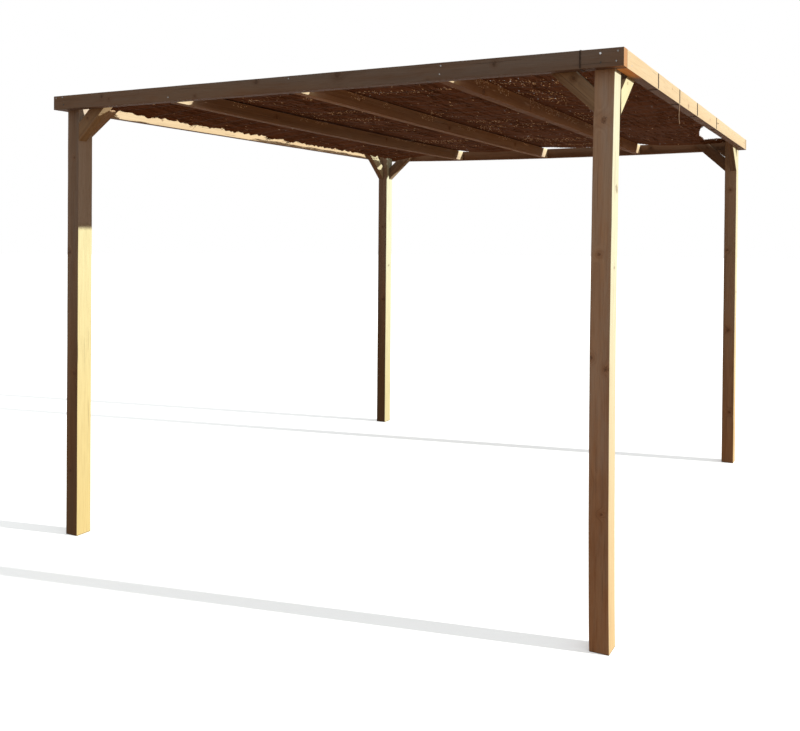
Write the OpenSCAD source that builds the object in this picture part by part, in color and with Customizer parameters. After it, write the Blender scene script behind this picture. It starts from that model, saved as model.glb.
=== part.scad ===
// Wooden pergola: four posts, a ring of beams, three rafters, eight corner braces and a heather roof.
// X runs along the front beam, Y runs back, Z is up. The origin is on the ground, in the middle of the plan.

/* [Frame] */
// Width of the frame over the side beams
frame_w = 3000; // [2800:10:3400]
// Depth of the frame over the front and back beams
frame_d = 3000; // [2800:10:3400]
// Height from the ground to the top of the beams
frame_h = 2240; // [2000:10:2600]

/* [Timber] */
// Side of a square post
post_side = 80; // [70:1:100]
// Height of a beam, a rafter and a brace
timber_h = 70; // [60:1:90]
// Thickness of a beam, a rafter and a brace
timber_t = 45; // [40:1:50]
// How far the back beam sags at its middle
back_sag = 16; // [0:1:25]

/* [Rafters] */
// Distance between the rafters' centre lines
rafter_pitch = 730; // [600:5:730]
// How far the left rafter sags at its middle
left_sag = 10; // [0:1:20]
// How far the middle rafter sags at its middle
middle_sag = 2; // [0:1:20]
// How far the right rafter sags at its middle
right_sag = 0; // [0:1:20]

/* [Braces] */
// How far a cross brace's long edge runs along the beam from the post
cross_run = 178; // [140:1:200]
// How far a cross brace's long edge drops down the post from the beam
cross_rise = 156; // [140:1:200]

/* [Heather roof] */
// Thickness of a heather mat
mat_t = 14; // [8:1:20]
// How far the mats sag between the rafters
mat_sag = 16; // [0:1:30]
// Gap between the mats and the front and back beams
mat_gap = 95; // [50:1:150]
// Gap between the mats and the left beam
left_gap = 155; // [80:1:200]
// How far the mats' free left edge hangs down
left_droop = 45; // [0:1:60]
// Width of the torn corner at the back right
torn_w = 215; // [100:5:300]
// Length of the torn corner at the back right
torn_l = 735; // [300:5:735]

/* [Ties] */
// Width of a tie
tie_w = 8; // [4:1:12]
// Thickness of a tie
tie_t = 2; // [1:0.5:3]

/* [Hidden] */
// Inner faces of the beams, which the outer faces of the posts touch
in_x = frame_w / 2 - timber_t;
in_y = frame_d / 2 - timber_t;
// Underside of the beams
beam_z = frame_h - timber_h;
// Run and rise of the side braces, each cut a little differently, by corner
side_cut = [
    [152, 152], // front left
    [180, 156], // front right
    [163, 153], // back left
    [166, 154] // back right
];
// Height of a post's and a brace's top above the beams' underside
lap = timber_h - 25;
// Edges of the mats
mat_left = -in_x + left_gap;
mat_right = in_x - 5;
mat_front = -in_y + mat_gap;
mat_back = in_y - mat_gap;
// Where one mat ends and the next begins
first_seam = -220;
second_seam = 600;
// Clearance between the mats and what they lie on
mat_clear = 1;
// Places of the ties, along the front beam and along the right beam
front_tie_x = 1332;
right_tie_y = [-995, -595, -190, 345];
// Thickness of a tie's loose end, and the flats round it
tail_d = 3;
tail_sides = 8;
// Where the second tie's loose end hangs: outwards from the right beam's outer face, along Y from the
// tie, and down from the tie's underside
tail_route = [
    [-1, 0, 0], [-1, 0, -6], [-1, 0.5, -12], [-1.5, 1, -19], [-2, 1.5, -25],
    [-2.5, 2, -31], [-3, 3, -37], [-3.5, 4, -44], [-4, 5, -50], [-4, 6, -56],
    [-4, 7, -63], [-4, 8, -69], [-3.5, 9, -75], [-3, 10, -82], [-2.5, 11, -88]
];
// Straight steps along a curved edge
steps = 12;
timber_colour = [0.55, 0.45, 0.36];
heather_colour = [0.30, 0.17, 0.12];
tie_colour = [0.25, 0.18, 0.12];

// Height that the back beam has lost at a distance x from its middle
function sag_at(x) = back_sag * (1 - pow(2 * x / frame_w, 2));
// Points from a to b along a curve that hangs by sag at its middle
function hanging(a, b, sag) = [
    for (i = [0:(sag > 0 ? 1 : steps):steps])
        let (u = i / steps)
        [a.x + (b.x - a.x) * u, a.y + (b.y - a.y) * u - sag * 4 * u * (1 - u)]
];
// The same points raised by h
function raised(points, h) = [for (p = points) [p.x, p.y + h]];
// The same points from last to first
function reversed(points) = [for (i = [len(points) - 1:-1:0]) points[i]];

// Band between a curve and the same curve raised by h
module band(points, h) {
    polygon(concat(points, reversed(raised(points, h))));
}

// Square post with its foot on the ground and its top inside the corner of the beams
module post(side_x, side_y) {
    color(timber_colour)
        translate([side_x * (in_x - post_side / 2), side_y * (in_y - post_side / 2), (beam_z + lap) / 2])
            cube([post_side, post_side, beam_z + lap], center = true);
}

// Beam across the whole width; sag is how far it hangs at its middle
module cross_beam(front_y, sag) {
    color(timber_colour)
        translate([0, front_y + timber_t, 0])
            rotate([90, 0, 0])
                linear_extrude(timber_t)
                    band(hanging([-frame_w / 2, beam_z], [frame_w / 2, beam_z], sag), timber_h);
}

// Beam between the front and the back beam
module side_beam(side_x) {
    color(timber_colour)
        translate([side_x * (in_x + timber_t / 2), 0, beam_z + timber_h / 2])
            cube([timber_t, 2 * in_y, timber_h], center = true);
}

// Rafter between the front and the back beam; its back end follows the sagged beam
module rafter(x, sag) {
    color(timber_colour)
        translate([x - timber_t / 2, 0, 0])
            rotate([90, 0, 90])
                linear_extrude(timber_t)
                    band(hanging([-in_y, beam_z], [in_y, beam_z - sag_at(x)], sag), timber_h);
}

// Brace outline: its upright cut is on the post, and its level cut is inside the beam
module brace_outline(run, rise) {
    slope = rise / run;
    tall = timber_h / cos(atan(slope));
    polygon([
        [0, tall - rise],
        [0, -rise],
        [run + lap / slope, lap],
        [run + (lap - tall) / slope, lap]
    ]);
}

// Brace on the inner face of the front or the back beam
module cross_brace(side_x, side_y) {
    color(timber_colour)
        translate([side_x * (in_x - post_side), side_y * (in_y - timber_t / 2), beam_z])
            mirror([side_x > 0 ? 1 : 0, 0, 0])
                rotate([90, 0, 0])
                    linear_extrude(timber_t, center = true)
                        brace_outline(cross_run, cross_rise);
}

// Brace on the inner face of a side beam
module side_brace(side_x, side_y) {
    cut = side_cut[(side_x + 1) / 2 + (side_y + 1)];
    color(timber_colour)
        translate([side_x * (in_x - timber_t / 2), side_y * (in_y - post_side), beam_z])
            mirror([0, side_y > 0 ? 1 : 0, 0])
                rotate([90, 0, 90])
                    linear_extrude(timber_t, center = true)
                        brace_outline(cut[0], cut[1]);
}

// Heather mat that hangs between the rafters and drops with them towards the back beam
module mat(from_y, to_y) {
    half = timber_t / 2;
    edge = concat(
        hanging([mat_left, -left_droop], [-rafter_pitch - half, 0], 0),
        hanging([-rafter_pitch + half, 0], [-half, 0], mat_sag),
        hanging([half, 0], [rafter_pitch - half, 0], mat_sag),
        hanging([rafter_pitch + half, 0], [mat_right, 0], mat_sag)
    );
    color(heather_colour)
        translate([0, -in_y, frame_h + mat_clear])
            rotate([-atan(sag_at(rafter_pitch) / (2 * in_y)), 0, 0])
                translate([0, to_y + in_y, 0])
                    rotate([90, 0, 0])
                        linear_extrude(to_y - from_y)
                            band(edge, mat_t);
}

// Plan of the torn corner: a quarter of an ellipse at its front, straight towards the back
module torn_corner() {
    round_l = torn_l - 150;
    front = mat_back - torn_l;
    curve = [for (i = [0:steps]) let (a = 90 * i / steps) [-torn_w * sin(a), round_l * (1 - cos(a))]];
    translate([mat_right, front])
        polygon(concat(curve, [[-torn_w, 2 * torn_l], [torn_w, 2 * torn_l], [torn_w, 0]]));
}

// Band round a beam of the frame's section, along Y
module tie() {
    color(tie_colour)
        difference() {
            cube([timber_t + 2 * tie_t, tie_w, timber_h + 2 * tie_t], center = true);
            cube([timber_t, 2 * tie_w, timber_h], center = true);
        }
}

// Tie round the right beam
module right_tie(index) {
    translate([in_x + timber_t / 2, right_tie_y[index], beam_z + timber_h / 2])
        tie();
}

// Loose end of a tie: level rings of points along its route, which runs down
module tail(index) {
    rings = len(tail_route);
    points = [
        for (p = tail_route)
            for (k = [0:tail_sides - 1])
                p + tail_d / 2 * [cos(360 * k / tail_sides), sin(360 * k / tail_sides), 0]
    ];
    walls = [
        for (i = [0:rings - 2])
            for (k = [0:tail_sides - 1])
                let (a = i * tail_sides + k, b = i * tail_sides + (k + 1) % tail_sides)
                [a, b, b + tail_sides, a + tail_sides]
    ];
    top = [for (k = [tail_sides - 1:-1:0]) k];
    bottom = [for (k = [0:tail_sides - 1]) (rings - 1) * tail_sides + k];
    color(tie_colour)
        translate([frame_w / 2, right_tie_y[index], beam_z - tie_t])
            polyhedron(points, concat(walls, [top], [bottom]));
}

module front_left_post() { post(-1, -1); }
module front_right_post() { post(1, -1); }
module back_left_post() { post(-1, 1); }
module back_right_post() { post(1, 1); }
module front_beam() { cross_beam(-frame_d / 2, 0); }
module back_beam() { cross_beam(in_y, back_sag); }
module left_beam() { side_beam(-1); }
module right_beam() { side_beam(1); }
module left_rafter() { rafter(-rafter_pitch, left_sag); }
module middle_rafter() { rafter(0, middle_sag); }
module right_rafter() { rafter(rafter_pitch, right_sag); }
module front_left_cross_brace() { cross_brace(-1, -1); }
module front_right_cross_brace() { cross_brace(1, -1); }
module back_left_cross_brace() { cross_brace(-1, 1); }
module back_right_cross_brace() { cross_brace(1, 1); }
module front_left_side_brace() { side_brace(-1, -1); }
module front_right_side_brace() { side_brace(1, -1); }
module back_left_side_brace() { side_brace(-1, 1); }
module back_right_side_brace() { side_brace(1, 1); }
module front_mat() { mat(mat_front, first_seam); }
module middle_mat() { mat(first_seam, second_seam); }
// The back mat has lost its right corner
module back_mat() {
    difference() {
        mat(second_seam, mat_back);
        translate([0, 0, frame_h / 2])
            linear_extrude(frame_h)
                torn_corner();
    }
}
module front_tie() {
    translate([front_tie_x, -in_y - timber_t / 2, beam_z + timber_h / 2])
        rotate([0, 0, 90])
            tie();
}
module right_tie_1() { right_tie(0); }
module right_tie_2() { right_tie(1); }
module right_tie_3() { right_tie(2); }
module right_tie_4() { right_tie(3); }
module right_tie_2_tail() { tail(1); }

front_left_post();
front_right_post();
back_left_post();
back_right_post();
front_beam();
back_beam();
left_beam();
right_beam();
left_rafter();
middle_rafter();
right_rafter();
front_left_cross_brace();
front_right_cross_brace();
back_left_cross_brace();
back_right_cross_brace();
front_left_side_brace();
front_right_side_brace();
back_left_side_brace();
back_right_side_brace();
front_mat();
middle_mat();
back_mat();
front_tie();
right_tie_1();
right_tie_2();
right_tie_3();
right_tie_4();
right_tie_2_tail();
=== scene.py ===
"""Weathered timber pergola with a sagging heather roof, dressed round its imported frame."""

import logging
import math
from contextlib import contextmanager
from dataclasses import dataclass, field, replace
from enum import Enum
from typing import Any, Callable, Iterator, Sequence

import bmesh
import bpy
import numpy as np
from mathutils import Matrix, Vector


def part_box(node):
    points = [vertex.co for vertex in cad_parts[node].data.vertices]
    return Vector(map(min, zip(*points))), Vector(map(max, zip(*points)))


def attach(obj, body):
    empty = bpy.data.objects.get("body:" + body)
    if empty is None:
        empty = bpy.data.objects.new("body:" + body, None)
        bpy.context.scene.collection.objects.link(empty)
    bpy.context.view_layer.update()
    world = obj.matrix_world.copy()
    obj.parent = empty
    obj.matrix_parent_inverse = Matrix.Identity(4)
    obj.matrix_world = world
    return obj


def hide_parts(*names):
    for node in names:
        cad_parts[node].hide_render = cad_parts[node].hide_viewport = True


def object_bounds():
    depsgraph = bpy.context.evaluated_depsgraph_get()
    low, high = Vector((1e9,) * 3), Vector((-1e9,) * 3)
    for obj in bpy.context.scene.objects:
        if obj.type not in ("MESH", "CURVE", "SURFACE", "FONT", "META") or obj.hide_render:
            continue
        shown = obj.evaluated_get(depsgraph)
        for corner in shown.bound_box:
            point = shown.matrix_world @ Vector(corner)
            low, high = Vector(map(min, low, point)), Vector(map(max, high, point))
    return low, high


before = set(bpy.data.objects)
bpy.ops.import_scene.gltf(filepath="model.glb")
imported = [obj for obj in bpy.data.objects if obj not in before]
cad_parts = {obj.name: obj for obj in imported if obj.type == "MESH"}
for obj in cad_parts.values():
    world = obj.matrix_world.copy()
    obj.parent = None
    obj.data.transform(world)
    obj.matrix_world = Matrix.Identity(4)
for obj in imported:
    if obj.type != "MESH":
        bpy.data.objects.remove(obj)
CAD_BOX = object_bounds()

LOG = logging.getLogger("pergola")
BODY = "root"
MM = 0.001
TAU = 2.0 * math.pi
WHITE = (1.0, 1.0, 1.0, 1.0)

Colour = tuple[float, float, float]
Point = tuple[float, float, float]
Object = bpy.types.Object
Material = bpy.types.Material
Marks = tuple[tuple[float, float], ...]
Stem = tuple[np.ndarray, list[tuple[int, ...]]]


class Slot(Enum):
    """The record's material slots."""

    POST = "post_wood"
    BEAM = "beam_wood"
    RAFTER = "rafter_wood"
    BRACE = "brace_wood"
    HEATHER = "heather"
    TWINE = "twine"
    SCREW = "screw_zinc"


# ---------------------------------------------------------------- shader maths


class Field:
    """A shader socket on which Python arithmetic works: each operation adds its Math node."""

    def __init__(self, tree: bpy.types.NodeTree, socket: bpy.types.NodeSocket) -> None:
        """Wraps a socket.

        Args:
            tree: The node tree that the socket belongs to.
            socket: An output socket.
        """
        self.tree = tree
        self.socket = socket

    def math(self, operation: str, *others: "Field | float", first: bool = True) -> "Field":
        """Adds a Math node.

        Args:
            operation: The Math node's operation.
            others: The other inputs.
            first: True if this field is the first input, False if it is the second.

        Returns:
            The node's result.
        """
        node = self.tree.nodes.new("ShaderNodeMath")
        node.operation = operation
        values = [self, *others] if first else [*others, self]
        for place, value in zip(node.inputs, values):
            if isinstance(value, Field):
                self.tree.links.new(value.socket, place)
            else:
                place.default_value = value
        return Field(self.tree, node.outputs[0])

    def __add__(self, other: "Field | float") -> "Field":
        """Sum."""
        return self.math("ADD", other)

    __radd__ = __add__

    def __sub__(self, other: "Field | float") -> "Field":
        """Difference."""
        return self.math("SUBTRACT", other)

    def __rsub__(self, other: float) -> "Field":
        """Difference with a number first."""
        return self.math("SUBTRACT", other, first=False)

    def __mul__(self, other: "Field | float") -> "Field":
        """Product."""
        return self.math("MULTIPLY", other)

    __rmul__ = __mul__

    def __truediv__(self, other: "Field | float") -> "Field":
        """Quotient."""
        return self.math("DIVIDE", other)

    def __pow__(self, power: float) -> "Field":
        """Power."""
        return self.math("POWER", power)

    def least(self, other: "Field | float") -> "Field":
        """The smaller of two fields."""
        return self.math("MINIMUM", other)

    def most(self, other: "Field | float") -> "Field":
        """The larger of two fields."""
        return self.math("MAXIMUM", other)


class Bench:
    """A material or a world in the making: one method adds any node, and a few name the common ones."""

    def __init__(self, name: str, world: bool = False) -> None:
        """Starts an empty node tree.

        Args:
            name: The material's or the world's name.
            world: True for a world.
        """
        self.material = (bpy.data.worlds if world else bpy.data.materials).new(name)
        self.material.use_nodes = True
        self.tree = self.material.node_tree
        self.tree.nodes.clear()

    def node(self, kind: str, inputs: dict[Any, Any] | None = None, **settings: str) -> bpy.types.Node:
        """Adds a node.

        Args:
            kind: The node's type.
            inputs: The values or fields of its sockets, by name or number.
            settings: Its properties, set before its sockets.

        Returns:
            The node.
        """
        made = self.tree.nodes.new(f"ShaderNode{kind}")
        for key, value in settings.items():
            setattr(made, key, value)
        for key, value in (inputs or {}).items():
            if isinstance(value, Field):
                self.tree.links.new(value.socket, made.inputs[key])
            else:
                made.inputs[key].default_value = value
        return made

    def out(self, made: bpy.types.Node, socket: int | str = 0) -> Field:
        """A node's output as a field."""
        return Field(self.tree, made.outputs[socket])

    def spot(self) -> Field:
        """The place on the object."""
        return self.out(self.node("TexCoord"), "Object")

    def facing(self) -> tuple[Field, Field, Field]:
        """The three parts of the surface's direction."""
        return self.parts(self.out(self.node("TexCoord"), "Normal"))

    def seen(self) -> Field:
        """1 where the camera, a reflection or glass looks, 0 in the light that is thrown back."""
        path = self.node("LightPath")
        seen = self.out(path, "Is Camera Ray")
        for ray in ("Is Glossy Ray", "Is Transmission Ray"):
            seen = seen.most(self.out(path, ray))
        return seen

    def parts(self, vector: Field) -> tuple[Field, Field, Field]:
        """The three parts of a vector."""
        made = self.node("SeparateXYZ", {0: vector})
        return self.out(made, 0), self.out(made, 1), self.out(made, 2)

    def join(self, x: Field | float, y: Field | float, z: Field | float) -> Field:
        """A vector from its three parts."""
        return self.out(self.node("CombineXYZ", {0: x, 1: y, 2: z}))

    def vector(
        self, operation: str, a: Field, b: Field | Point | None = None, out: int | str = 0
    ) -> Field:
        """Adds a Vector Math node.

        Args:
            operation: The node's operation.
            a: The first vector.
            b: The second vector, if it takes one.
            out: The output to use.

        Returns:
            The chosen output.
        """
        inputs = {0: a} if b is None else {0: a, 1: b}
        return self.out(self.node("VectorMath", inputs, operation=operation), out)

    def scaled(self, a: Field | Point, factor: Field | float) -> Field:
        """A vector times a number."""
        return self.out(self.node("VectorMath", {0: a, "Scale": factor}, operation="SCALE"))

    def noise(self, where: Field, scale: float = 1.0, detail: float = 2.0, rough: float = 0.5) -> Field:
        """Noise from 0 to 1 at a place."""
        inputs = {"Vector": where, "Scale": scale, "Detail": detail, "Roughness": rough}
        return self.out(self.node("TexNoise", inputs))

    def drawn(
        self, where: Field, density: Point, detail: float, rough: float = 0.5, scale: float = 1.0
    ) -> Field:
        """Noise with a density of its own along each axis."""
        return self.noise(self.vector("MULTIPLY", where, density), scale, detail, rough)

    def flecks(self, where: Field, density: Point, size: float, share: Field | float = 0.4) -> Field:
        """Small specks scattered over a place.

        Args:
            where: The place.
            density: The cells in a metre, along each axis.
            size: A speck's radius, in cells.
            share: The share of the cells that have a speck.

        Returns:
            1 in a speck, 0 between them.
        """
        cells = self.vector("MULTIPLY", where, density)
        made = self.node("TexVoronoi", {"Vector": cells, "Scale": 1.0})
        luck = self.parts(self.out(made, "Color"))[0]
        return self.step(self.out(made, "Distance"), size, size * 0.7) * luck.math("LESS_THAN", share)

    def step(self, value: Field, low: float, high: float) -> Field:
        """A smooth step from 0 at low to 1 at high."""
        inputs = {"Value": value, "From Min": low, "From Max": high}
        return self.out(self.node("MapRange", inputs, interpolation_type="SMOOTHSTEP"))

    def blend(self, a: Field | Colour, b: Field | Colour, factor: Field | float, how: str = "MIX") -> Field:
        """Adds a Mix node on colours.

        Args:
            a: The first colour.
            b: The second colour.
            factor: How much of the second.
            how: The blend type.

        Returns:
            The mixed colour.
        """
        first = a if isinstance(a, Field) else (*a, 1.0)
        second = b if isinstance(b, Field) else (*b, 1.0)
        made = self.node("Mix", {0: factor, 6: first, 7: second}, data_type="RGBA", blend_type=how)
        return self.out(made, 2)

    def times(self, a: Field, b: Colour) -> Field:
        """A colour multiplied by another."""
        return self.blend(a, b, 1.0, "MULTIPLY")

    def grain(self, seed: int) -> tuple[Field, Field]:
        """The place in a timber, and the same place moved by the timber's seed."""
        grain = self.out(self.node("Attribute", attribute_name="grain"), "Vector")
        return grain, self.vector("ADD", grain, (seed * 7.31, seed * 0.173, seed * 0.091))

    def finish(
        self,
        colour: Field,
        roughness: Field | float,
        height: Field,
        depth: float,
        metallic: float = 0.0,
        specular: float = 0.5,
    ) -> Material:
        """Closes the material with a Principled shader and a Bump node.

        Args:
            colour: The base colour.
            roughness: The roughness.
            height: The relief, from 0 to 1.
            depth: The relief's height in metres.
            metallic: The metallic value.
            specular: The specular level.

        Returns:
            The material.
        """
        bump = self.node("Bump", {"Strength": 1.0, "Distance": depth, "Height": height})
        shader = self.node("BsdfPrincipled", {
            "Base Color": colour, "Roughness": roughness, "Metallic": metallic,
            "Specular IOR Level": specular, "Normal": self.out(bump),
        })
        self.node("OutputMaterial", {"Surface": self.out(shader)})
        return self.material


# ---------------------------------------------------------------- finishes


@dataclass(frozen=True)
class Knot:
    """A branch's root in a timber."""

    along: float
    """Distance from the timber's start, in metres."""
    side: tuple[float, float]
    """Where it breaks the surface, in the section, from the section's middle."""
    size: float
    """Radius where it breaks the surface."""


Knots = tuple[Knot, ...]


def knots_at(*rows: tuple[float, float, float, float]) -> Knots:
    """Knots from rows: metres along, then the place in the section and the radius in millimetres."""
    return tuple(Knot(along, (u * MM, v * MM), size * MM) for along, u, v, size in rows)


@dataclass(frozen=True)
class TimberFinish:
    """Sawn softwood that has stood outside: rings, knots, streaks, drying checks and a grey film."""

    name: str
    early: Colour = (0.360, 0.258, 0.178)
    late: Colour = (0.205, 0.128, 0.080)
    grey: Colour = (0.270, 0.225, 0.185)
    greying: float = 0.60
    # The side towards the sun is painted paler: part sun-bleaching, part painted sunlight.
    sunlit_bleach: Colour = (0.360, 0.275, 0.175)
    sunlit_bleaching: float = 0.85
    # Colour of sawn ends that face the sun: part bleaching, part painted sunlight.
    end: Colour = (0.360, 0.275, 0.175)
    foot: Colour = (0.92, 0.69, 0.50)
    """What the wood is multiplied by at the ground; it fades out at foot_height."""
    foot_shade: Colour = (1.0, 1.0, 1.0)
    # Painted shade: what the wood is multiplied by at the ground before the side towards the sun is
    # painted, so it darkens mostly the faces in shade; it fades out at foot_height.
    """The same, under the bleaching."""
    foot_height: float = 0.0
    sunlit_ends: float = 9.0
    # Beyond this distance from the middle, past the mat's edges where the sun reaches, the side towards the
    # sun is painted paler by 0.9, as bleach and painted sunlight.
    """Beyond this distance from the middle, the side towards the sun is bleached by 0.9."""
    shadow_line: float = 9.0
    # Above this height, where the roof's shadow falls, that side gets its own colour instead of the bleach
    # and painted sunlight.
    """Above this height, that side is aged instead of bleached."""
    shadow_side: Colour = (0.345, 0.285, 0.225)
    under: Colour = (1.0, 1.0, 1.0)
    # Painted shade: what the wood is multiplied by underneath.
    """What the wood is multiplied by underneath."""
    corner_glow: float = 0.0
    # Painted reflected light: how orange the underside is near the front right corner, beyond the threshold
    # below in x - y.
    """How orange the underside is near the front right corner, beyond corner_glow_from in x - y."""
    corner_glow_from: float = 2.70
    crest: float = 0.0
    """How much lighter the wood is at its top."""
    flecks: tuple[tuple[float, float, float], ...] = ()
    """Spots of light on the side towards the sun: place towards the back, reach and share."""
    sheen: float = 0.10
    streaks: float = 0.55
    ring: float = 3.6 * MM

    def _knots(self, bench: Bench, grain: Field, knots: Knots, pith: tuple[float, float]) -> Field:
        """Distance to the nearest knot, in that knot's own radii.

        Args:
            bench: The material in the making.
            grain: The place in the timber.
            knots: The timber's knots.
            pith: The pith's place in the section.

        Returns:
            The distance, 1 at the knot's rim.
        """
        nearest: Field | None = None
        for knot in knots:
            out = Vector((0.25 * math.hypot(*knot.side), knot.side[0] - pith[0], knot.side[1] - pith[1]))
            reach = out.length
            way = out.normalized()
            start = (knot.along - out.x, pith[0], pith[1])
            offset = bench.vector("SUBTRACT", grain, start)
            depth = bench.vector("DOT_PRODUCT", offset, tuple(way), "Value")
            axis_point = bench.scaled(tuple(way), depth)
            across = bench.vector("SUBTRACT", offset, axis_point)
            spread = bench.vector("LENGTH", across, None, "Value")
            radius = (depth / reach).most(0.02).least(1.3) * knot.size
            ratio = spread / radius
            nearest = ratio if nearest is None else nearest.least(ratio)
        return nearest

    def material(
        self, name: str, knots: Knots, pith: tuple[float, float], seed: int, length: float = 9.0
    ) -> Material:
        """Makes the finish of one timber's long faces.

        Args:
            name: The timber's name.
            knots: Its knots.
            pith: The pith's place in the section.
            seed: A number that tells timbers apart.
            length: The timber's length.

        Returns:
            The material.
        """
        bench = Bench(f"{self.name}_{name}")
        grain, place = bench.grain(seed)
        slow = bench.drawn(place, (1.2, 7.0, 7.0), 2.0)
        sway = bench.drawn(place, (0.9, 3.0, 3.0), 1.0, scale=1.7)
        run, u, v = bench.parts(grain)
        u2 = u - pith[0] + (slow - 0.5) * 0.014
        v2 = v - pith[1] + (sway - 0.5) * 0.014
        radius = (u2 * u2 + v2 * v2) ** 0.5
        near = self._knots(bench, grain, knots, pith)
        lift = (near * near * -0.16).math("EXPONENT") * 0.012
        flow = radius + lift
        turn = (flow / self.ring + slow * 2.0).math("FRACT")
        late = bench.step(turn, 0.35, 0.9) * (1.0 - bench.step(turn, 0.93, 1.0))
        along, _, _ = bench.parts(place)
        band = bench.noise(bench.join(along * 0.55, flow * 95.0, seed * 1.3), 1.0, 3.0, 0.6)
        broad = bench.noise(bench.join(along * 0.35, flow * 34.0, seed * 2.1), 1.0, 2.0, 0.5)
        fibre = bench.drawn(place, (9.0, 620.0, 620.0), 3.0, 0.6)
        blotch = bench.drawn(place, (2.4, 14.0, 14.0), 4.0, 0.6)
        split = bench.drawn(place, (2.6, 190.0, 190.0), 1.0, 0.4)
        check = bench.step(split, 0.725, 0.76)
        craze = bench.drawn(place, (150.0, 210.0, 210.0), 2.0, 0.6)
        crack = bench.step(craze, 0.52, 0.60)
        body = 1.0 - bench.step(near, 0.60, 1.05)
        rim = bench.step(near, 0.70, 0.95) * (1.0 - bench.step(near, 1.0, 1.2)) * crack
        halo = 1.0 - bench.step(near, 0.9, 3.4)

        dark = bench.step(band, 0.36, 0.68) * self.streaks + late * 0.20
        dark = dark + bench.step(broad, 0.42, 0.66) * 0.28
        wood = bench.blend(self.early, self.late, dark.least(0.95))
        wood = bench.blend(wood, self.grey, bench.step(blotch, 0.40, 0.68) * self.greying)
        warm = bench.times(wood, (1.10, 0.90, 0.66))
        wood = bench.blend(wood, warm, bench.step(slow, 0.45, 0.66) * 0.55)
        tint = bench.times(wood, (0.88, 0.76, 0.66))
        wood = bench.blend(wood, tint, halo * 0.6)
        spot = bench.spot()
        x, y, z = bench.parts(spot)
        height = z + (slow - 0.5) * 0.3
        # Painted shade towards the foot, under the painted side towards the sun.
        if self.foot_height > 0.0:
            foot_shade = bench.times(wood, self.foot_shade)
            wood = bench.blend(foot_shade, wood, bench.step(height, 0.1, self.foot_height))
        # The side towards the sun is painted paler, part sun-bleaching and part painted sunlight.
        facing_x, _, facing_z = bench.facing()
        sun_side = bench.step(facing_x, 0.55, 0.95)
        pale = bench.blend(self.sunlit_bleach, wood, 0.20)
        sunlit_end = bench.step(y.math("ABSOLUTE"), self.sunlit_ends, self.sunlit_ends + 0.08)
        # The painted sunlight on the side towards the sun stops at the line of the roof's cast shadow.
        below_shadow = bench.step(z, self.shadow_line + 0.05, self.shadow_line)
        sunlit_bleaching = sunlit_end * (0.9 - self.sunlit_bleaching) + self.sunlit_bleaching
        wood = bench.blend(wood, pale, sun_side * below_shadow * sunlit_bleaching)
        wood = bench.blend(wood, self.shadow_side, sun_side * (1.0 - below_shadow) * 0.85)
        # Painted shade on the faces that look down.
        below = bench.step(facing_z, -0.5, -0.9)
        wood = bench.blend(wood, bench.times(wood, self.under), below)
        # Painted reflected light: orange undersides near the front right corner.
        if self.corner_glow > 0.0:
            corner = bench.step(x - y, self.corner_glow_from, self.corner_glow_from + 0.12)
            wood = bench.blend(wood, (0.560, 0.235, 0.068), below * corner * self.corner_glow)
        if self.crest > 0.0:
            lighter = bench.times(wood, (2.2, 2.2, 2.2))
            wood = bench.blend(wood, lighter, bench.step(v, 0.010, 0.036) * self.crest)
        if self.flecks:
            dots = bench.flecks(spot, (0.0, 115.0, 170.0), 0.36, 0.45)
            there: Field | float = 0.0
            for start, reach, share in self.flecks:
                there = (bench.step((y - start).math("ABSOLUTE"), reach, reach * 0.3) * share).most(there)
            there = there * bench.step(z, 2.185, 2.225)
            dots = dots * (there - slow * 0.5).math("GREATER_THAN", 0.0)
            wood = bench.blend(wood, (1.0, 0.95, 0.86), dots * sun_side)
        near_end = 1.0 - bench.step(run.least(length - run), 0.0015, 0.005)
        wood = bench.blend(wood, (0.075, 0.046, 0.028), near_end * 0.75)
        heart = bench.times(wood, (0.62, 0.52, 0.46))
        heart = bench.blend(heart, (0.040, 0.024, 0.016), crack * 0.8)
        wood = bench.blend(wood, heart, body * 0.80)
        wood = bench.blend(wood, (0.060, 0.036, 0.024), rim * 0.7)
        wood = bench.blend(wood, (0.060, 0.040, 0.028), check * 0.6)
        shade = bench.times(wood, (0.80, 0.78, 0.76))
        wood = bench.blend(wood, shade, bench.step(fibre, 0.4, 0.75))
        if self.foot_height > 0.0:
            foot = bench.times(wood, self.foot)
            wood = bench.blend(foot, wood, bench.step(height, 0.0, self.foot_height))
        rough = 0.70 + fibre * 0.18 - late * 0.08 - body * 0.15
        relief = late * 0.35 + fibre * 0.45 + band * 0.2 - check * 1.0 + body * 0.3 - rim * 0.5
        return bench.finish(wood, rough, relief, 0.7 * MM, specular=self.sheen)

    def end_material(self, name: str, pith: tuple[float, float], seed: int) -> Material:
        """Makes the finish of one timber's sawn ends.

        Args:
            name: The timber's name.
            pith: The pith's place in the section.
            seed: A number that tells timbers apart.

        Returns:
            The material.
        """
        bench = Bench(f"{self.name}_{name}_end")
        grain, place = bench.grain(seed)
        slow = bench.noise(place, 30.0, 2.0)
        _, u, v = bench.parts(grain)
        u2 = u - pith[0] + (slow - 0.5) * 0.006
        v2 = v - pith[1]
        radius = (u2 * u2 + v2 * v2) ** 0.5
        turn = (radius / self.ring).math("FRACT")
        late = bench.step(turn, 0.3, 0.85) * (1.0 - bench.step(turn, 0.92, 1.0))
        angle = v2.math("ARCTAN2", u2)
        split = bench.noise(bench.join(angle * 5.0, radius * 12.0, seed * 3.7), 1.0, 2.0, 0.5)
        check = bench.step(split, 0.66, 0.71)
        stain = bench.noise(place, 45.0, 4.0, 0.6)
        end = bench.blend(self.early, self.late, late * 0.75)
        end = bench.times(end, (0.62, 0.56, 0.52))
        end = bench.blend(end, self.grey, bench.step(stain, 0.4, 0.7) * 0.5)
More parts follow.
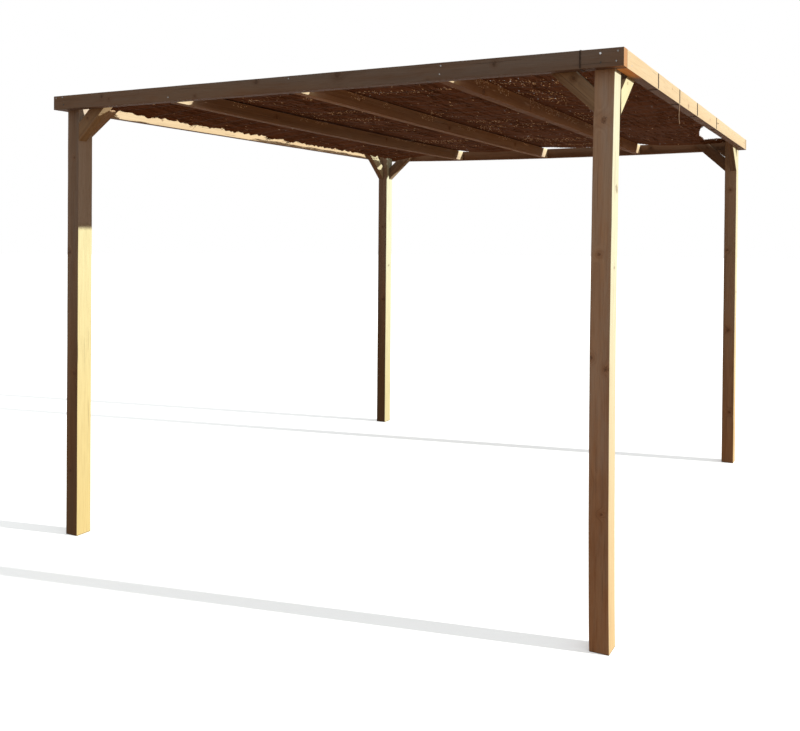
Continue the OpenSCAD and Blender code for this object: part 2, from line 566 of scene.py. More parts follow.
        # Sawn ends that face the sun are painted paler: part bleaching, part painted sunlight.
        pale = bench.blend(end, self.end, 0.75)
        end = bench.blend(end, pale, bench.step(bench.facing()[0], 0.55, 0.95))
        end = bench.blend(end, (0.035, 0.024, 0.018), check * 0.9)
        relief = late * 0.4 + stain * 0.4 - check
        return bench.finish(end, 0.86 - late * 0.1, relief, 0.8 * MM, specular=self.sheen)


@dataclass(frozen=True)
class HeatherFinish:
    """Dry heather stems bound into a mat, greyer on the weathered top."""

    bark: Colour = (0.104, 0.047, 0.026)
    straw: Colour = (0.132, 0.063, 0.036)
    shadow: Colour = (0.052, 0.022, 0.013)
    sunny_straw: Colour = (0.155, 0.080, 0.047)
    light_speck: Colour = (1.0, 0.97, 0.92)
    weathered: Colour = (0.200, 0.160, 0.125)
    seams: tuple[float, ...] = (-0.22, 0.60)
    rows: tuple[tuple[float, float, float], ...] = (
        (-1.05, -0.30, 1.20), (-0.80, 0.70, 0.92), (-0.62, -0.68, -0.20), (-0.60, 0.70, 0.92),
        (-0.38, -0.72, -0.25), (-0.05, 0.10, 0.45), (0.11, -0.68, -0.38), (0.16, 0.12, 0.66),
        (0.70, -0.70, 0.00), (0.78, -0.68, -0.30), (0.86, 0.05, 0.66), (0.94, 0.05, 0.50),
        (1.05, -0.66, -0.30), (1.18, 0.10, 0.60),
    )
    # Worn rows across the mats, under which specks of sunlight are painted: place towards the back, then
    # where each starts and ends.
    """Worn rows across the mats: place towards the back, then where each starts and ends."""
    patches: tuple[tuple[float, float, float, float], ...] = (
        (0.90, -1.02, 0.24, 0.10), (0.86, -0.78, 0.12, 0.10), (0.84, -0.55, 0.08, 0.14),
        (-0.58, -1.02, 0.16, 0.10), (-0.62, -0.60, 0.10, 0.12), (-0.66, -0.36, 0.06, 0.10),
        (-0.60, 0.78, 0.14, 0.12), (0.08, -0.35, 0.06, 0.12), (0.08, 0.35, 0.06, 0.20),
        (0.14, 0.86, 0.10, 0.10), (0.84, 0.05, 0.08, 0.25),
    )
    # Worn patches, under which specks of sunlight are painted: the middle, then half the width and half the
    # length.
    """Worn patches: the middle, then half the width and half the length."""

    def mat(self) -> Material:
        """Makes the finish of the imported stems, which run along Y."""
        bench = Bench("heather_mat")
        spot = bench.spot()
        stems = bench.drawn(spot, (330.0, 14.0, 200.0), 3.0, 0.6)
        sprigs = bench.drawn(spot, (420.0, 130.0, 200.0), 3.0, 0.65)
        tufts = bench.drawn(spot, (26.0, 9.0, 9.0), 3.0, 0.6)
        colour = bench.blend(self.bark, self.straw, bench.step(stems, 0.45, 0.78) * 0.5)
        colour = bench.blend(colour, self.straw, bench.step(sprigs, 0.62, 0.78) * 0.5)
        colour = bench.blend(colour, self.shadow, bench.step(sprigs, 0.46, 0.30) * 0.6)
        colour = bench.blend(colour, self.shadow, bench.step(tufts, 0.56, 0.34) * 0.35)
        colour = self._seam_shade(bench, colour, spot)
        colour = self._sunlit(bench, colour, spot)
        return self._weather(bench, colour, stems * 0.6 + sprigs * 0.6, 1.2 * MM)

    def stem(self) -> Material:
        """Makes the finish of the loose stems, each of which has its own tone."""
        bench = Bench("heather_stem")
        tone = bench.out(bench.node("Attribute", attribute_name="tone"), "Fac")
        spot = bench.spot()
        flake = bench.drawn(spot, (500.0, 90.0, 500.0), 3.0, 0.6)
        colour = bench.blend(self.bark, self.straw, bench.step(tone, 0.45, 1.0))
        # The side towards the sun is painted paler: part bleached straw, part painted sunlight.
        sunny = bench.step(bench.facing()[0], 0.1, 0.6)
        colour = bench.blend(colour, self.sunny_straw, sunny * bench.step(tone, 0.1, 0.6))
        colour = bench.blend(colour, self.shadow, bench.step(flake, 0.52, 0.30) * 0.7)
        colour = self._seam_shade(bench, colour, spot)
        colour = self._sunlit(bench, colour, spot)
        return self._weather(bench, colour, flake, 0.6 * MM)

    def _sunlit(self, bench: Bench, colour: Field, spot: Field) -> Field:
        """Paints specks of sunlight under the worn rows and patches, and a few everywhere underneath.

        Args:
            bench: The material in the making.
            colour: The colour so far.
            spot: The place on the object.

        Returns:
            The flecked colour.
        """
        x, y, _ = bench.parts(spot)
        drift = (bench.noise(bench.scaled(spot, 5.0), 1.0, 2.0) - 0.5) * 0.06
        share: Field | float = 0.02
        for row, start, end in self.rows:
            away = bench.step((y + drift - row).math("ABSOLUTE"), 0.055, 0.025)
            inside = bench.step(x, start - 0.04, start + 0.04) * bench.step(x, end + 0.06, end - 0.06)
            share = (away * inside * 0.55).most(share)
        for px, py, half_x, half_y in self.patches:
            u = (x - px) / half_x
            v = (y + drift - py) / half_y
            share = (bench.step(u * u + v * v, 1.3, 0.2) * 0.40).most(share)
        down = bench.step(bench.facing()[2], 0.3, -0.1)
        return bench.blend(colour, self.light_speck, bench.flecks(spot, (150.0, 38.0, 0.0), 0.36, share * down))

    def _seam_shade(self, bench: Bench, colour: Field, spot: Field) -> Field:
        """Paints shade along the seams where the mats meet.

        Args:
            bench: The material in the making.
            colour: The colour so far.
            spot: The place on the object.

        Returns:
            The darker colour.
        """
        x, y, _ = bench.parts(spot)
        drift = (bench.noise(bench.scaled(spot, 6.0), 1.0, 1.0) - 0.5) * 0.02
        fade = bench.step(x, 1.10, 0.98)
        for seam in self.seams:
            away = (y + drift + x * 0.01 - seam).math("ABSOLUTE")
            colour = bench.blend(colour, self.shadow, (1.0 - bench.step(away, 0.004, 0.013)) * fade * 0.8)
        return colour

    def _weather(self, bench: Bench, colour: Field, height: Field, depth: float) -> Material:
        """Greys what faces the sky.

        Args:
            bench: The material in the making.
            colour: The colour so far.
            height: The relief.
            depth: The relief's height in metres.

        Returns:
            The material.
        """
        grey = bench.blend(colour, self.weathered, bench.step(bench.facing()[2], 0.1, 0.8) * 0.55)
        return bench.finish(grey, 0.95 - height * 0.06, height, depth, specular=0.02)


@dataclass(frozen=True)
class TwineFinish:
    """Tarred garden twine."""

    name: str = "tarred_twine"
    dark: Colour = (0.020, 0.011, 0.007)
    light: Colour = (0.062, 0.036, 0.022)

    def material(self) -> Material:
        """Makes the finish."""
        bench = Bench(self.name)
        spot = bench.spot()
        x, y, z = bench.parts(spot)
        lay = ((x + y * 0.7 + z * 0.7) * 2600.0).math("SINE") * 0.5 + 0.5
        fuzz = bench.noise(spot, 900.0, 3.0, 0.6)
        colour = bench.blend(self.dark, self.light, lay * 0.5 + bench.step(fuzz, 0.4, 0.7) * 0.5)
        return bench.finish(colour, 0.75 + fuzz * 0.15, lay * 0.6 + fuzz * 0.4, 0.4 * MM, specular=0.3)


@dataclass(frozen=True)
class MetalFinish:
    """Zinc-plated steel that has dulled outdoors."""

    name: str
    bright: Colour
    dull: Colour
    rough: float

    def material(self) -> Material:
        """Makes the finish."""
        bench = Bench(self.name)
        spot = bench.spot()
        bloom = bench.noise(spot, 700.0, 3.0, 0.6)
        film = bench.step(bloom, 0.38, 0.70)
        colour = bench.blend(self.bright, self.dull, film)
        return bench.finish(colour, self.rough + film * 0.25, bloom, 0.1 * MM, metallic=1.0)


POST_WOOD = TimberFinish(
    "post", grey=(0.275, 0.240, 0.210), greying=0.75, sunlit_bleach=(0.385, 0.400, 0.295), foot_height=1.7
)
BACK_POST_WOOD = TimberFinish(
    "back_post", early=(0.310, 0.225, 0.150), late=(0.172, 0.110, 0.066), grey=(0.225, 0.190, 0.155),
    sunlit_bleach=(0.390, 0.375, 0.255), foot_height=1.7,
)
# Painted shade: a darker copy of the post wood for the front left post, which stands in deeper shade,
# darker still towards the foot; the back left post takes it too.
SHADED_POST_WOOD = TimberFinish(
    "shaded_post", early=(0.220, 0.158, 0.112), late=(0.122, 0.078, 0.050), grey=(0.160, 0.135, 0.113),
    sunlit_bleach=(0.450, 0.425, 0.240), shadow_line=1.56, foot_shade=(0.56, 0.50, 0.42), foot=(0.98, 0.84, 0.66),
    foot_height=1.9,
)
FAR_POST_WOOD = replace(SHADED_POST_WOOD, name="far_post", sunlit_bleach=(0.430, 0.455, 0.330), shadow_line=9.0)
FRONT_WOOD = TimberFinish(
    "front_beam", early=(0.148, 0.100, 0.070), late=(0.085, 0.053, 0.035), grey=(0.135, 0.114, 0.098),
    greying=0.70, end=(0.290, 0.145, 0.062), under=(0.58, 0.40, 0.28), corner_glow=0.70, corner_glow_from=2.91,
)
BEAM_WOOD = TimberFinish(
    "beam", early=(0.320, 0.205, 0.125), late=(0.180, 0.100, 0.055), sunlit_bleach=(0.355, 0.280, 0.175),
    sunlit_bleaching=0.95, end=(0.290, 0.215, 0.130), under=(0.36, 0.25, 0.16), corner_glow=0.85,
)
BACK_BEAM_WOOD = TimberFinish(
    "back_beam", early=(0.165, 0.092, 0.052), late=(0.090, 0.046, 0.024), grey=(0.135, 0.098, 0.072),
    greying=0.40, end=(0.300, 0.230, 0.145),
)
RAFTER_WOOD = TimberFinish(
    "rafter", early=(0.225, 0.172, 0.148), late=(0.145, 0.100, 0.080), grey=(0.200, 0.172, 0.155),
    greying=0.25, sunlit_bleaching=0.06, sunlit_ends=1.32, sunlit_bleach=(0.400, 0.330, 0.210), crest=0.25, sheen=0.03,
    under=(0.88, 0.80, 0.72),
    flecks=(
        (-1.04, 0.10, 0.5), (-0.52, 0.06, 0.7), (-0.36, 0.10, 0.5), (0.52, 0.20, 0.35), (0.78, 0.12, 0.6),
    ),
)
MIDDLE_RAFTER_WOOD = replace(
    RAFTER_WOOD, name="middle_rafter", early=(0.290, 0.220, 0.185), late=(0.185, 0.125, 0.098),
    grey=(0.245, 0.206, 0.182), under=(0.80, 0.72, 0.62),
    flecks=(
        (-1.04, 0.10, 0.6), (-0.78, 0.06, 0.5), (-0.36, 0.13, 0.9), (0.12, 0.16, 0.8), (0.66, 0.16, 0.9),
        (1.04, 0.10, 0.5),
    ),
)
RIGHT_RAFTER_WOOD = replace(
    RAFTER_WOOD, name="right_rafter", early=(0.268, 0.180, 0.130), late=(0.168, 0.100, 0.070),
    under=(0.64, 0.56, 0.47),
    flecks=(
        (-1.14, 0.10, 0.7), (-0.92, 0.10, 0.6), (-0.52, 0.12, 0.7), (-0.30, 0.14, 0.9), (0.00, 0.16, 1.0),
        (0.30, 0.10, 0.6),
    ),
)
# Painted shade: a darker copy of the brace wood for the back braces and the offcut, which get little light
# at the back.
SHADED_BACK_BRACE_WOOD = TimberFinish(
    "shaded_back_brace", early=(0.170, 0.115, 0.078), late=(0.098, 0.062, 0.040), grey=(0.145, 0.118, 0.095),
    greying=0.35, sunlit_bleach=(0.400, 0.370, 0.240), sunlit_bleaching=0.95,
)
SHADED_BRACE_WOOD = TimberFinish(
    "shaded_brace", early=(0.170, 0.112, 0.075), late=(0.098, 0.060, 0.038), grey=(0.145, 0.115, 0.092),
    greying=0.35, sunlit_bleach=(0.430, 0.290, 0.170), sunlit_bleaching=0.80,
)
BRACE_WOOD = TimberFinish(
    "brace", early=(0.235, 0.165, 0.100), late=(0.138, 0.088, 0.050), grey=(0.195, 0.165, 0.120),
    greying=0.35, sunlit_bleach=(0.420, 0.390, 0.240), sunlit_bleaching=0.95,
)
HEATHER = HeatherFinish()
TWINE = TwineFinish()
BARE_TWINE = TwineFinish("bare_twine", (0.160, 0.100, 0.060), (0.380, 0.270, 0.170))
SCREW_ZINC = MetalFinish("screw_zinc", (0.62, 0.62, 0.63), (0.24, 0.23, 0.23), 0.42)
SCREW_DULL = MetalFinish("dull_screw", (0.36, 0.35, 0.35), (0.17, 0.16, 0.15), 0.55)
SCREW_DARK = MetalFinish("dark_screw", (0.080, 0.070, 0.062), (0.045, 0.036, 0.030), 0.60)
WIRE_ZINC = MetalFinish("binding_wire", (0.130, 0.095, 0.075), (0.070, 0.046, 0.034), 0.60)


# ---------------------------------------------------------------- shop tools


def deselect() -> None:
    """Deselects every object."""
    for thing in bpy.context.selected_objects:
        thing.select_set(False)


def take(piece: Object) -> Object:
    """Makes a piece the only selected and the active object.

    Args:
        piece: The piece.

    Returns:
        The same piece.
    """
    deselect()
    piece.select_set(True)
    bpy.context.view_layer.objects.active = piece
    return piece


def settle(piece: Object) -> None:
    """Puts a piece's place into its mesh."""
    take(piece)
    bpy.ops.object.transform_apply(location=True, rotation=True, scale=True)


@contextmanager
def editing() -> Iterator[None]:
    """Edit mode for the active piece."""
    bpy.ops.object.mode_set(mode="EDIT")
    yield
    bpy.ops.object.mode_set(mode="OBJECT")


def smooth(piece: Object, degrees: float) -> None:
    """Shades a piece smooth, apart from its edges that are sharper than an angle."""
    take(piece)
    bpy.ops.object.shade_smooth_by_angle(angle=math.radians(degrees))


def placed(name: str, data: bpy.types.ID) -> Object:
    """Puts a new object with a mesh, curve, lamp or camera into the scene."""
    piece = bpy.data.objects.new(name, data)
    bpy.context.scene.collection.objects.link(piece)
    return piece


def strands_of(
    name: str, lines: Sequence[Sequence[Vector]], radius: float, resolution: int = 2
) -> Object:
    """Makes a curve object of round strands with closed ends.

    Args:
        name: Its name.
        lines: The strands' centre lines.
        radius: The strands' radius.
        resolution: How round they are; 0 gives four sides.

    Returns:
        The object, still a curve.
    """
    curve = bpy.data.curves.new(name, "CURVE")
    curve.dimensions = "3D"
    curve.bevel_depth = radius
    curve.bevel_resolution = resolution
    curve.use_fill_caps = True
    for line in lines:
        spline = curve.splines.new("POLY")
        spline.points.add(len(line) - 1)
        for point, place in zip(spline.points, line):
            point.co = (*place, 1.0)
    return placed(name, curve)


def as_mesh(piece: Object, material: Material) -> Object:
    """Turns a curve into a mesh with its finish."""
    take(piece)
    bpy.ops.object.convert(target="MESH")
    bpy.context.object.data.materials.append(material)
    return bpy.context.object


def block(size: Sequence[float], middle: Sequence[float]) -> Object:
    """Adds a box of a size round its middle."""
    deselect()
    bpy.ops.mesh.primitive_cube_add(size=1.0, location=middle)
    bpy.context.object.scale = size
    settle(bpy.context.object)
    return bpy.context.object


def joined(parts: Sequence[Object]) -> Object:
    """Joins pieces into the first of them."""
    take(parts[0])
    for part in parts:
        part.select_set(True)
    bpy.ops.object.join()
    return bpy.context.object


def record_grain(piece: Object, places: np.ndarray) -> None:
    """Records the place in the timber at each of a piece's points."""
    piece.data.attributes.new("grain", "FLOAT_VECTOR", "POINT").data.foreach_set("vector", places.ravel())


def pick(
    piece: Object,
    edge: Callable[[Vector, Vector], bool] | None = None,
    face: Callable[[Vector, Vector], bool] | None = None,
) -> None:
    """Selects edges or faces of the piece that is in edit mode, and nothing else.

    Args:
        piece: The piece.
        edge: Tests an edge by its two ends.
        face: Tests a face by its middle and its normal.
    """
    bpy.ops.mesh.select_mode(type="EDGE" if edge else "FACE")
    bpy.ops.mesh.select_all(action="DESELECT")
    shape = bmesh.from_edit_mesh(piece.data)
    if edge:
        for side in shape.edges:
            if edge(side.verts[0].co, side.verts[1].co):
                side.select = True
    if face:
        for side in shape.faces:
            if face(side.calc_center_median(), side.normal):
                side.select = True
    shape.select_flush_mode()
    bmesh.update_edit_mesh(piece.data)


def points_of(piece: Object) -> np.ndarray:
    """The piece's points, one in a row."""
    flat = np.empty(len(piece.data.vertices) * 3)
    piece.data.vertices.foreach_get("co", flat)
    return flat.reshape(-1, 3)


def set_points(piece: Object, points: np.ndarray) -> None:
    """Moves the piece's points."""
    piece.data.vertices.foreach_set("co", points.ravel())
    piece.data.update()


def wave(seed: float, where: np.ndarray, lengths: Sequence[float]) -> np.ndarray:
    """Slow irregular wave from -1 to 1, a sum of sines whose phases come from the seed.

    Args:
        seed: A number that tells waves apart.
        where: The places along the wave.
        lengths: The wavelengths of its sines.

    Returns:
        The wave at each place.
    """
    total = sum(
        np.sin(TAU * where / length + seed * (3.1 + 1.7 * index)) for index, length in enumerate(lengths)
    )
    return total / len(lengths)


def fit_out(piece: Object, name: str, slot: Slot, *nodes: str) -> Object:
    """Names a finished piece, sets it on the frame and reports it.

    Args:
        piece: The piece.
        name: Its name.
        slot: Its material slot in the record; not used.
        nodes: The frame's nodes that it stands for.

    Returns:
        The same piece.
    """
    piece.name = name
    piece.data.name = name
    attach(piece, BODY)
    if nodes:
        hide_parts(*nodes)
    count = sum(len(side.vertices) - 2 for side in piece.data.polygons) if piece.type == "MESH" else 0
    LOG.info("%s: %d triangles", name, count)
    return piece


class TopLine:
    """The height of a node's top along an axis."""

    def __init__(self, node: str, axis: int) -> None:
        """Reads the line from the frame.

        Args:
            node: The node's name.
            axis: The axis that the line follows.
        """
        points = points_of(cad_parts[node])
        places = np.round(points[:, axis], 4)
        self.places = np.unique(places)
        self.heights = np.array([points[places == place, 2].max() for place in self.places])

    def at(self, where: np.ndarray) -> np.ndarray:
        """The height at each place."""
        return np.interp(where, self.places, self.heights)


# ---------------------------------------------------------------- timber


TIMBER_H = 70 * MM
EASE = 0.6 * MM
ARRIS = 2.2 * MM
STATION = 45 * MM


class Run(Enum):
    """The way a timber runs: its length, width and depth directions."""

    ACROSS = ((1, 0, 0), (0, 1, 0), (0, 0, 1))
    BACK = ((0, 1, 0), (-1, 0, 0), (0, 0, 1))
    UP = ((0, 0, 1), (1, 0, 0), (0, 1, 0))


@dataclass
class Timber:
    """One squared timber with eased arrises, slightly uneven faces and its grain recorded in its mesh."""

    node: str
    run: Run
    finish: TimberFinish
    slot: Slot
    seed: int
    knots: Knots
    pith: tuple[float, float]
    bow: float = 0.5 * MM
    wane: float = 0.0
    crook: float = 0.0

    def bar(self, length: float, width: float, depth: float) -> Object:
        """Models the straight bar: a box, its arrises bevelled, cut into stations along its length.

        Args:
            length: Its length, along X from 0.
            width: Its width, along Y.
            depth: Its depth, along Z.

        Returns:
            The bar.
        """
        bar = block((length, width - 2 * EASE, depth - 2 * EASE), (length / 2, 0.0, 0.0))
        with editing():
            pick(bar, edge=lambda a, b: abs(a.x - b.x) > length / 2)
            bpy.ops.mesh.bevel(offset=ARRIS, segments=2, profile=0.6)
            pick(bar, edge=lambda a, b: abs(a.x - b.x) > length / 2)
            bpy.ops.mesh.subdivide(number_cuts=max(2, round(length / STATION)))
            pick(bar, face=lambda centre, normal: abs(normal.x) > 0.9)
            bpy.ops.mesh.bevel(offset=0.8 * MM, segments=1)
        return bar

    def season(self, bar: Object, length: float, depth: float) -> None:
        """Records the grain, then bows the bar a little and wears its lower edge.

        Args:
            bar: The bar.
            length: Its length.
            depth: Its depth.
        """
        points = points_of(bar)
        record_grain(bar, points)
        along = points[:, 0]
        hold = np.sin(np.pi * np.clip(along / length, 0, 1)) ** 0.5
        points[:, 1] += self.bow * hold * wave(self.seed, along, (1.9, 0.8, 0.31)) + self.crook * hold**1.4
        points[:, 2] += self.bow * hold * wave(self.seed + 5, along, (1.6, 0.7, 0.27))
        if self.wane > 0.0:
            low = np.clip((-points[:, 2] - depth * 0.30) / (depth * 0.2), 0, 1)
            near_side = np.clip(-points[:, 1] / (10 * MM) + 0.5, 0, 1)
            lumps = 0.5 + 0.5 * wave(self.seed + 2, along, (0.47, 0.23, 0.117))
            points[:, 2] += self.wane * low * (0.35 + 0.65 * near_side) * lumps
            points[:, 1] += self.wane * 0.5 * low * near_side * lumps
        set_points(bar, points)

    def dress(self, bar: Object, way: Vector = Vector((1, 0, 0)), length: float = 9.0) -> None:
        """Gives the bar its two finishes: long faces, and sawn ends.

        Args:
            bar: The bar.
            way: The way that it runs.
            length: Its length, where its ends are the timber's own.
        """
        bar.data.materials.append(self.finish.material(self.node, self.knots, self.pith, self.seed, length))
        bar.data.materials.append(self.finish.end_material(self.node, self.pith, self.seed))
        for side in bar.data.polygons:
            side.material_index = 1 if abs(side.normal.dot(way)) > 0.6 else 0
        smooth(bar, 32)

    def build(self) -> Object:
        """Builds a post, a beam or a rafter where its node is.

        Returns:
            The finished piece.
        """
        low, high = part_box(self.node)
        ways = [Vector(way) for way in self.run.value]
        size = [abs((high - low).dot(way)) for way in ways]
        depth = size[2] if self.run is Run.UP else TIMBER_H
        middle = (low + high) / 2
        if self.run is not Run.UP:
            middle.z = high.z - depth / 2
        bar = self.bar(size[0], size[1], depth)
        self.season(bar, size[0], depth)
        self.dress(bar, length=size[0])
        start = middle - ways[0] * size[0] / 2
        turn = Matrix(ways).transposed().to_4x4()
        bar.matrix_world = Matrix.Translation(start) @ turn
        settle(bar)
        if self.run is not Run.UP:
            axis = 0 if self.run is Run.ACROSS else 1
            points = points_of(bar)
            points[:, 2] += TopLine(self.node, axis).at(points[:, axis]) - high.z
            set_points(bar, points)
        return fit_out(bar, f"{self.node}_timber", self.slot, self.node)


@dataclass
class Brace(Timber):
    """A short sloping timber, with one end against a post and the other up inside the beams."""

    rise: float = 0.0

    def build(self) -> Object:
        """Builds a brace where its node is.

        Returns:
            The finished piece.
        """
        low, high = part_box(self.node)
        along_x = self.run is Run.ACROSS
        axis = 0 if along_x else 1
        inward = -1.0 if (low[axis] + high[axis]) > 0 else 1.0
        level = Vector((inward, 0, 0)) if along_x else Vector((0, inward, 0))
        up = Vector((0, 0, 1))
        reach = high[axis] - low[axis]
        lean = math.atan2(high.z - low.z, reach)
        width = high[1 - axis] - low[1 - axis]
        foot = (low + high) / 2
        foot[axis] = low[axis] if inward > 0 else high[axis]
        foot.z = low.z + TIMBER_H / 2 / math.cos(lean)
        way = level * math.cos(lean) + up * math.sin(lean)
        depth_way = up * math.cos(lean) - level * math.sin(lean)
        width_way = depth_way.cross(way)
        length = (reach + self.rise) / math.cos(lean) + 2 * TIMBER_H
        bar = self.bar(length, width, TIMBER_H)
        self.season(bar, length, TIMBER_H)
        turn = Matrix((way, width_way, depth_way)).transposed().to_4x4()
        bar.matrix_world = Matrix.Translation(foot - way * TIMBER_H) @ turn
        settle(bar)
        with editing():
            for point, outward in ((foot, -level), (Vector((0, 0, high.z + self.rise)), up)):
                bpy.ops.mesh.select_all(action="SELECT")
                bpy.ops.mesh.bisect(plane_co=point, plane_no=outward, use_fill=True, clear_outer=True)
        self.dress(bar, way)
        return fit_out(bar, f"{self.node}_timber", self.slot, self.node)


@dataclass
class Offcut:
    """A triangular offcut left in the corner above a cross brace, with a tapered slot along the brace."""

    brace: str = "back_right_cross_brace"
    post: str = "back_right_post"
    beam: str = "back_beam"
    slot_width: float = 3.2 * MM
    taper: float = 0.034
    finish: TimberFinish = SHADED_BACK_BRACE_WOOD

    def build(self) -> Object:
        """Cuts the offcut to its corner.

        Returns:
            The finished piece.
        """
        low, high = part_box(self.brace)
        post_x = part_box(self.post)[0].x
        lean = math.atan2(high.z - low.z, high.x - low.x)
        under = float(TopLine(self.beam, 0).at(np.array(post_x))) - TIMBER_H
        beam_low = max(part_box(self.beam)[0].z, under)
        top_edge = Vector((post_x, 0.0, low.z + TIMBER_H / math.cos(lean)))
        normal = Vector((math.sin(lean), 0.0, math.cos(lean)))
        cut = Vector((math.sin(lean - self.taper), 0.0, math.cos(lean - self.taper)))
        size = Vector((90 * MM, high.y - low.y, 90 * MM))
        middle = Vector((post_x - size.x / 2, (low.y + high.y) / 2, beam_low - size.z / 2))
        piece = block(size, middle)
        slot_edge = top_edge + normal * self.slot_width
        with editing():
            bpy.ops.mesh.select_all(action="SELECT")
            bpy.ops.mesh.bisect(plane_co=slot_edge, plane_no=-cut, use_fill=True, clear_outer=True)
            bpy.ops.mesh.select_all(action="SELECT")
            bpy.ops.mesh.bevel(offset=1.5 * MM, segments=2)
        points = points_of(piece)
        along = points @ np.array((-normal.z, 0.0, normal.x))
        deep = points @ np.array((normal.x, 0.0, normal.z))
        places = (along - along.min(), points[:, 1] - middle.y, deep - deep.min())
        record_grain(piece, np.column_stack(places))
        knots = knots_at((0.4, 22.5, 0, 5), (0.5, -22.5, 0, 5))
        piece.data.materials.append(self.finish.material("offcut", knots, (0.03, -0.04), 97))
        smooth(piece, 32)
        return fit_out(piece, "back_right_offcut", Slot.BRACE)


# ---------------------------------------------------------------- heather roof


@dataclass
class Drape:
    """The roof's underside as it lies on the rafters, with small ripples between them."""

    ripple: float = 2.5 * MM
    edge_ripple: float = 6 * MM
    tuck: float = 2 * MM
    corner: float = 22 * MM
    flap: float = 72 * MM
    flap_y: float = -1.11
    flap_lift: float = 10 * MM
    hang: float = 9 * MM
    back_droop: float = 4 * MM

    def __post_init__(self) -> None:
        """Reads the hanging line from the front mat."""
        low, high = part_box("front_mat")
        points = points_of(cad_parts["front_mat"])
        front = points[points[:, 1] < low.y + 2 * MM]
        self.front_y = low.y
        self.across = np.unique(np.round(front[:, 0], 4))
        self.heights = np.array(
            [front[np.abs(front[:, 0] - place) < 1e-4, 2].min() for place in self.across]
        )
        back = points[points[:, 1] > high.y - 2 * MM]
        self.fall = (back[:, 2].max() - front[:, 2].max()) / (high.y - low.y)
        self.rafter_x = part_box("right_rafter")[0].x + 22.5 * MM
        self.free_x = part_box("left_rafter")[0].x
        self.left_x = low.x
        self.right_x = high.x
        self.back_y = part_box("back_mat")[1].y

    def reach(self, x: np.ndarray, y: np.ndarray) -> np.ndarray:
        """How far the front left corner is pulled out to the left.

        Args:
            x: Places across.
            y: Places towards the back.

        Returns:
            The shift to the left.
        """
        side = np.clip(1 - (x - self.left_x) / 0.20, 0, 1.1)
        return side * (self.corner * np.clip((-0.98 - y) / 0.16, 0, 1) + self.flap * self.folded(y))

    def folded(self, y: np.ndarray) -> np.ndarray:
        """How far the mat's corner lies up on the brace, from 0 to 1, at places towards the back."""
        return np.clip((self.flap_y - y) / (70 * MM), 0, 1)

    def at(self, x: np.ndarray, y: np.ndarray) -> np.ndarray:
        """The height of the underside.

        Args:
            x: Places across.
            y: Places towards the back.

        Returns:
            The heights.
        """
        flat = np.interp(x, self.across, self.heights) + self.fall * (y - self.front_y)
        between = np.sin(np.pi * x / self.rafter_x) ** 2
        free = np.clip((self.free_x - x) / (self.free_x - self.left_x), 0, 1.1)
        tucked = np.clip((x - self.right_x) / (60 * MM) + 1, 0, 1.2)
        lifted = np.where((x > 0) & (x < self.rafter_x), -0.1, 1.0)
        return (
            flat
            - self.tuck * tucked**2
            + self.flap_lift * np.clip(1 - (x - self.left_x) / 0.30, 0, 1) * self.folded(y)
            - self.hang * free**2 * (1 - self.folded(y))
            - self.back_droop * np.minimum(1.0, 6 * between) * lifted
            * np.clip((y - self.back_y) / (70 * MM) + 1, 0, 1.3) ** 2
            + self.ripple * between * (wave(2.0, y, (0.83, 0.41)) + wave(4.0, x, (0.31, 0.17)) * 0.5)
            + self.edge_ripple * free**2 * wave(9.0, y, (0.93, 0.37, 0.19))
        )


@dataclass
class StemStock:
    """Heather stems cut to length: thin three-sided stems with short side shoots."""

    kinds: int = 8
    length: float = 230 * MM
    radius: float = 1.5 * MM
    shoots: int = 7
    shoot_length: float = 26 * MM

    def __post_init__(self) -> None:
        """Cuts the stems."""
        self.stems = [self._cut(np.random.default_rng(40 + kind)) for kind in range(self.kinds)]

    def one(self, chance: np.random.Generator) -> Stem:
        """One of the stems, drawn by chance."""
        return self.stems[int(chance.integers(0, self.kinds))]

    def _cut(self, chance: np.random.Generator) -> Stem:
        """Models one stem along Y.

        Args:
            chance: The random numbers.

        Returns:
            Its points and faces.
        """
        deselect()
        bpy.ops.mesh.primitive_cylinder_add(
            vertices=3, radius=self.radius, depth=self.length,
            location=(0, self.length / 2, 0), rotation=(math.pi / 2, 0, 0),
        )
        stem = bpy.context.object
        settle(stem)
        with editing():
            pick(stem, edge=lambda a, b: abs(a.y - b.y) > self.length / 2)
            bpy.ops.mesh.subdivide(number_cuts=4)
        points = points_of(stem)
        along = points[:, 1] / self.length
        thin = (1.0 - 0.65 * along)[:, None]
        points[:, [0, 2]] *= thin
        points[:, 0] += 7 * MM * np.sin(along * chance.uniform(2, 5) + chance.uniform(0, 6))
        points[:, 2] += 1.5 * MM * np.sin(along * chance.uniform(3, 7) + chance.uniform(0, 6))
        set_points(stem, points)
        spine = [points[np.abs(along - step) < 0.11].mean(axis=0) for step in (0.2, 0.4, 0.6, 0.8, 1.0)]
        parts = [stem]
        for _ in range(self.shoots):
            joint = spine[int(chance.integers(0, len(spine)))]
            size = self.shoot_length * chance.uniform(0.5, 1.2)
            deselect()
            bpy.ops.mesh.primitive_cone_add(
                vertices=3, radius1=0.9 * MM, radius2=0.0, depth=size, location=(0, 0, size / 2)
            )
            shoot = bpy.context.object
            settle(shoot)
            lean = math.radians(chance.uniform(20, 55)) * (1 if chance.random() < 0.5 else -1)
            shoot.rotation_euler = (-math.pi / 2, math.radians(chance.uniform(-12, 12)), lean)
            shoot.location = joint + np.array([0, chance.uniform(-15, 15) * MM, 0])
            settle(shoot)
            parts.append(shoot)
        stem = joined(parts)
        cut = points_of(stem), [tuple(side.vertices) for side in stem.data.polygons]
        bpy.data.objects.remove(stem)
        return cut


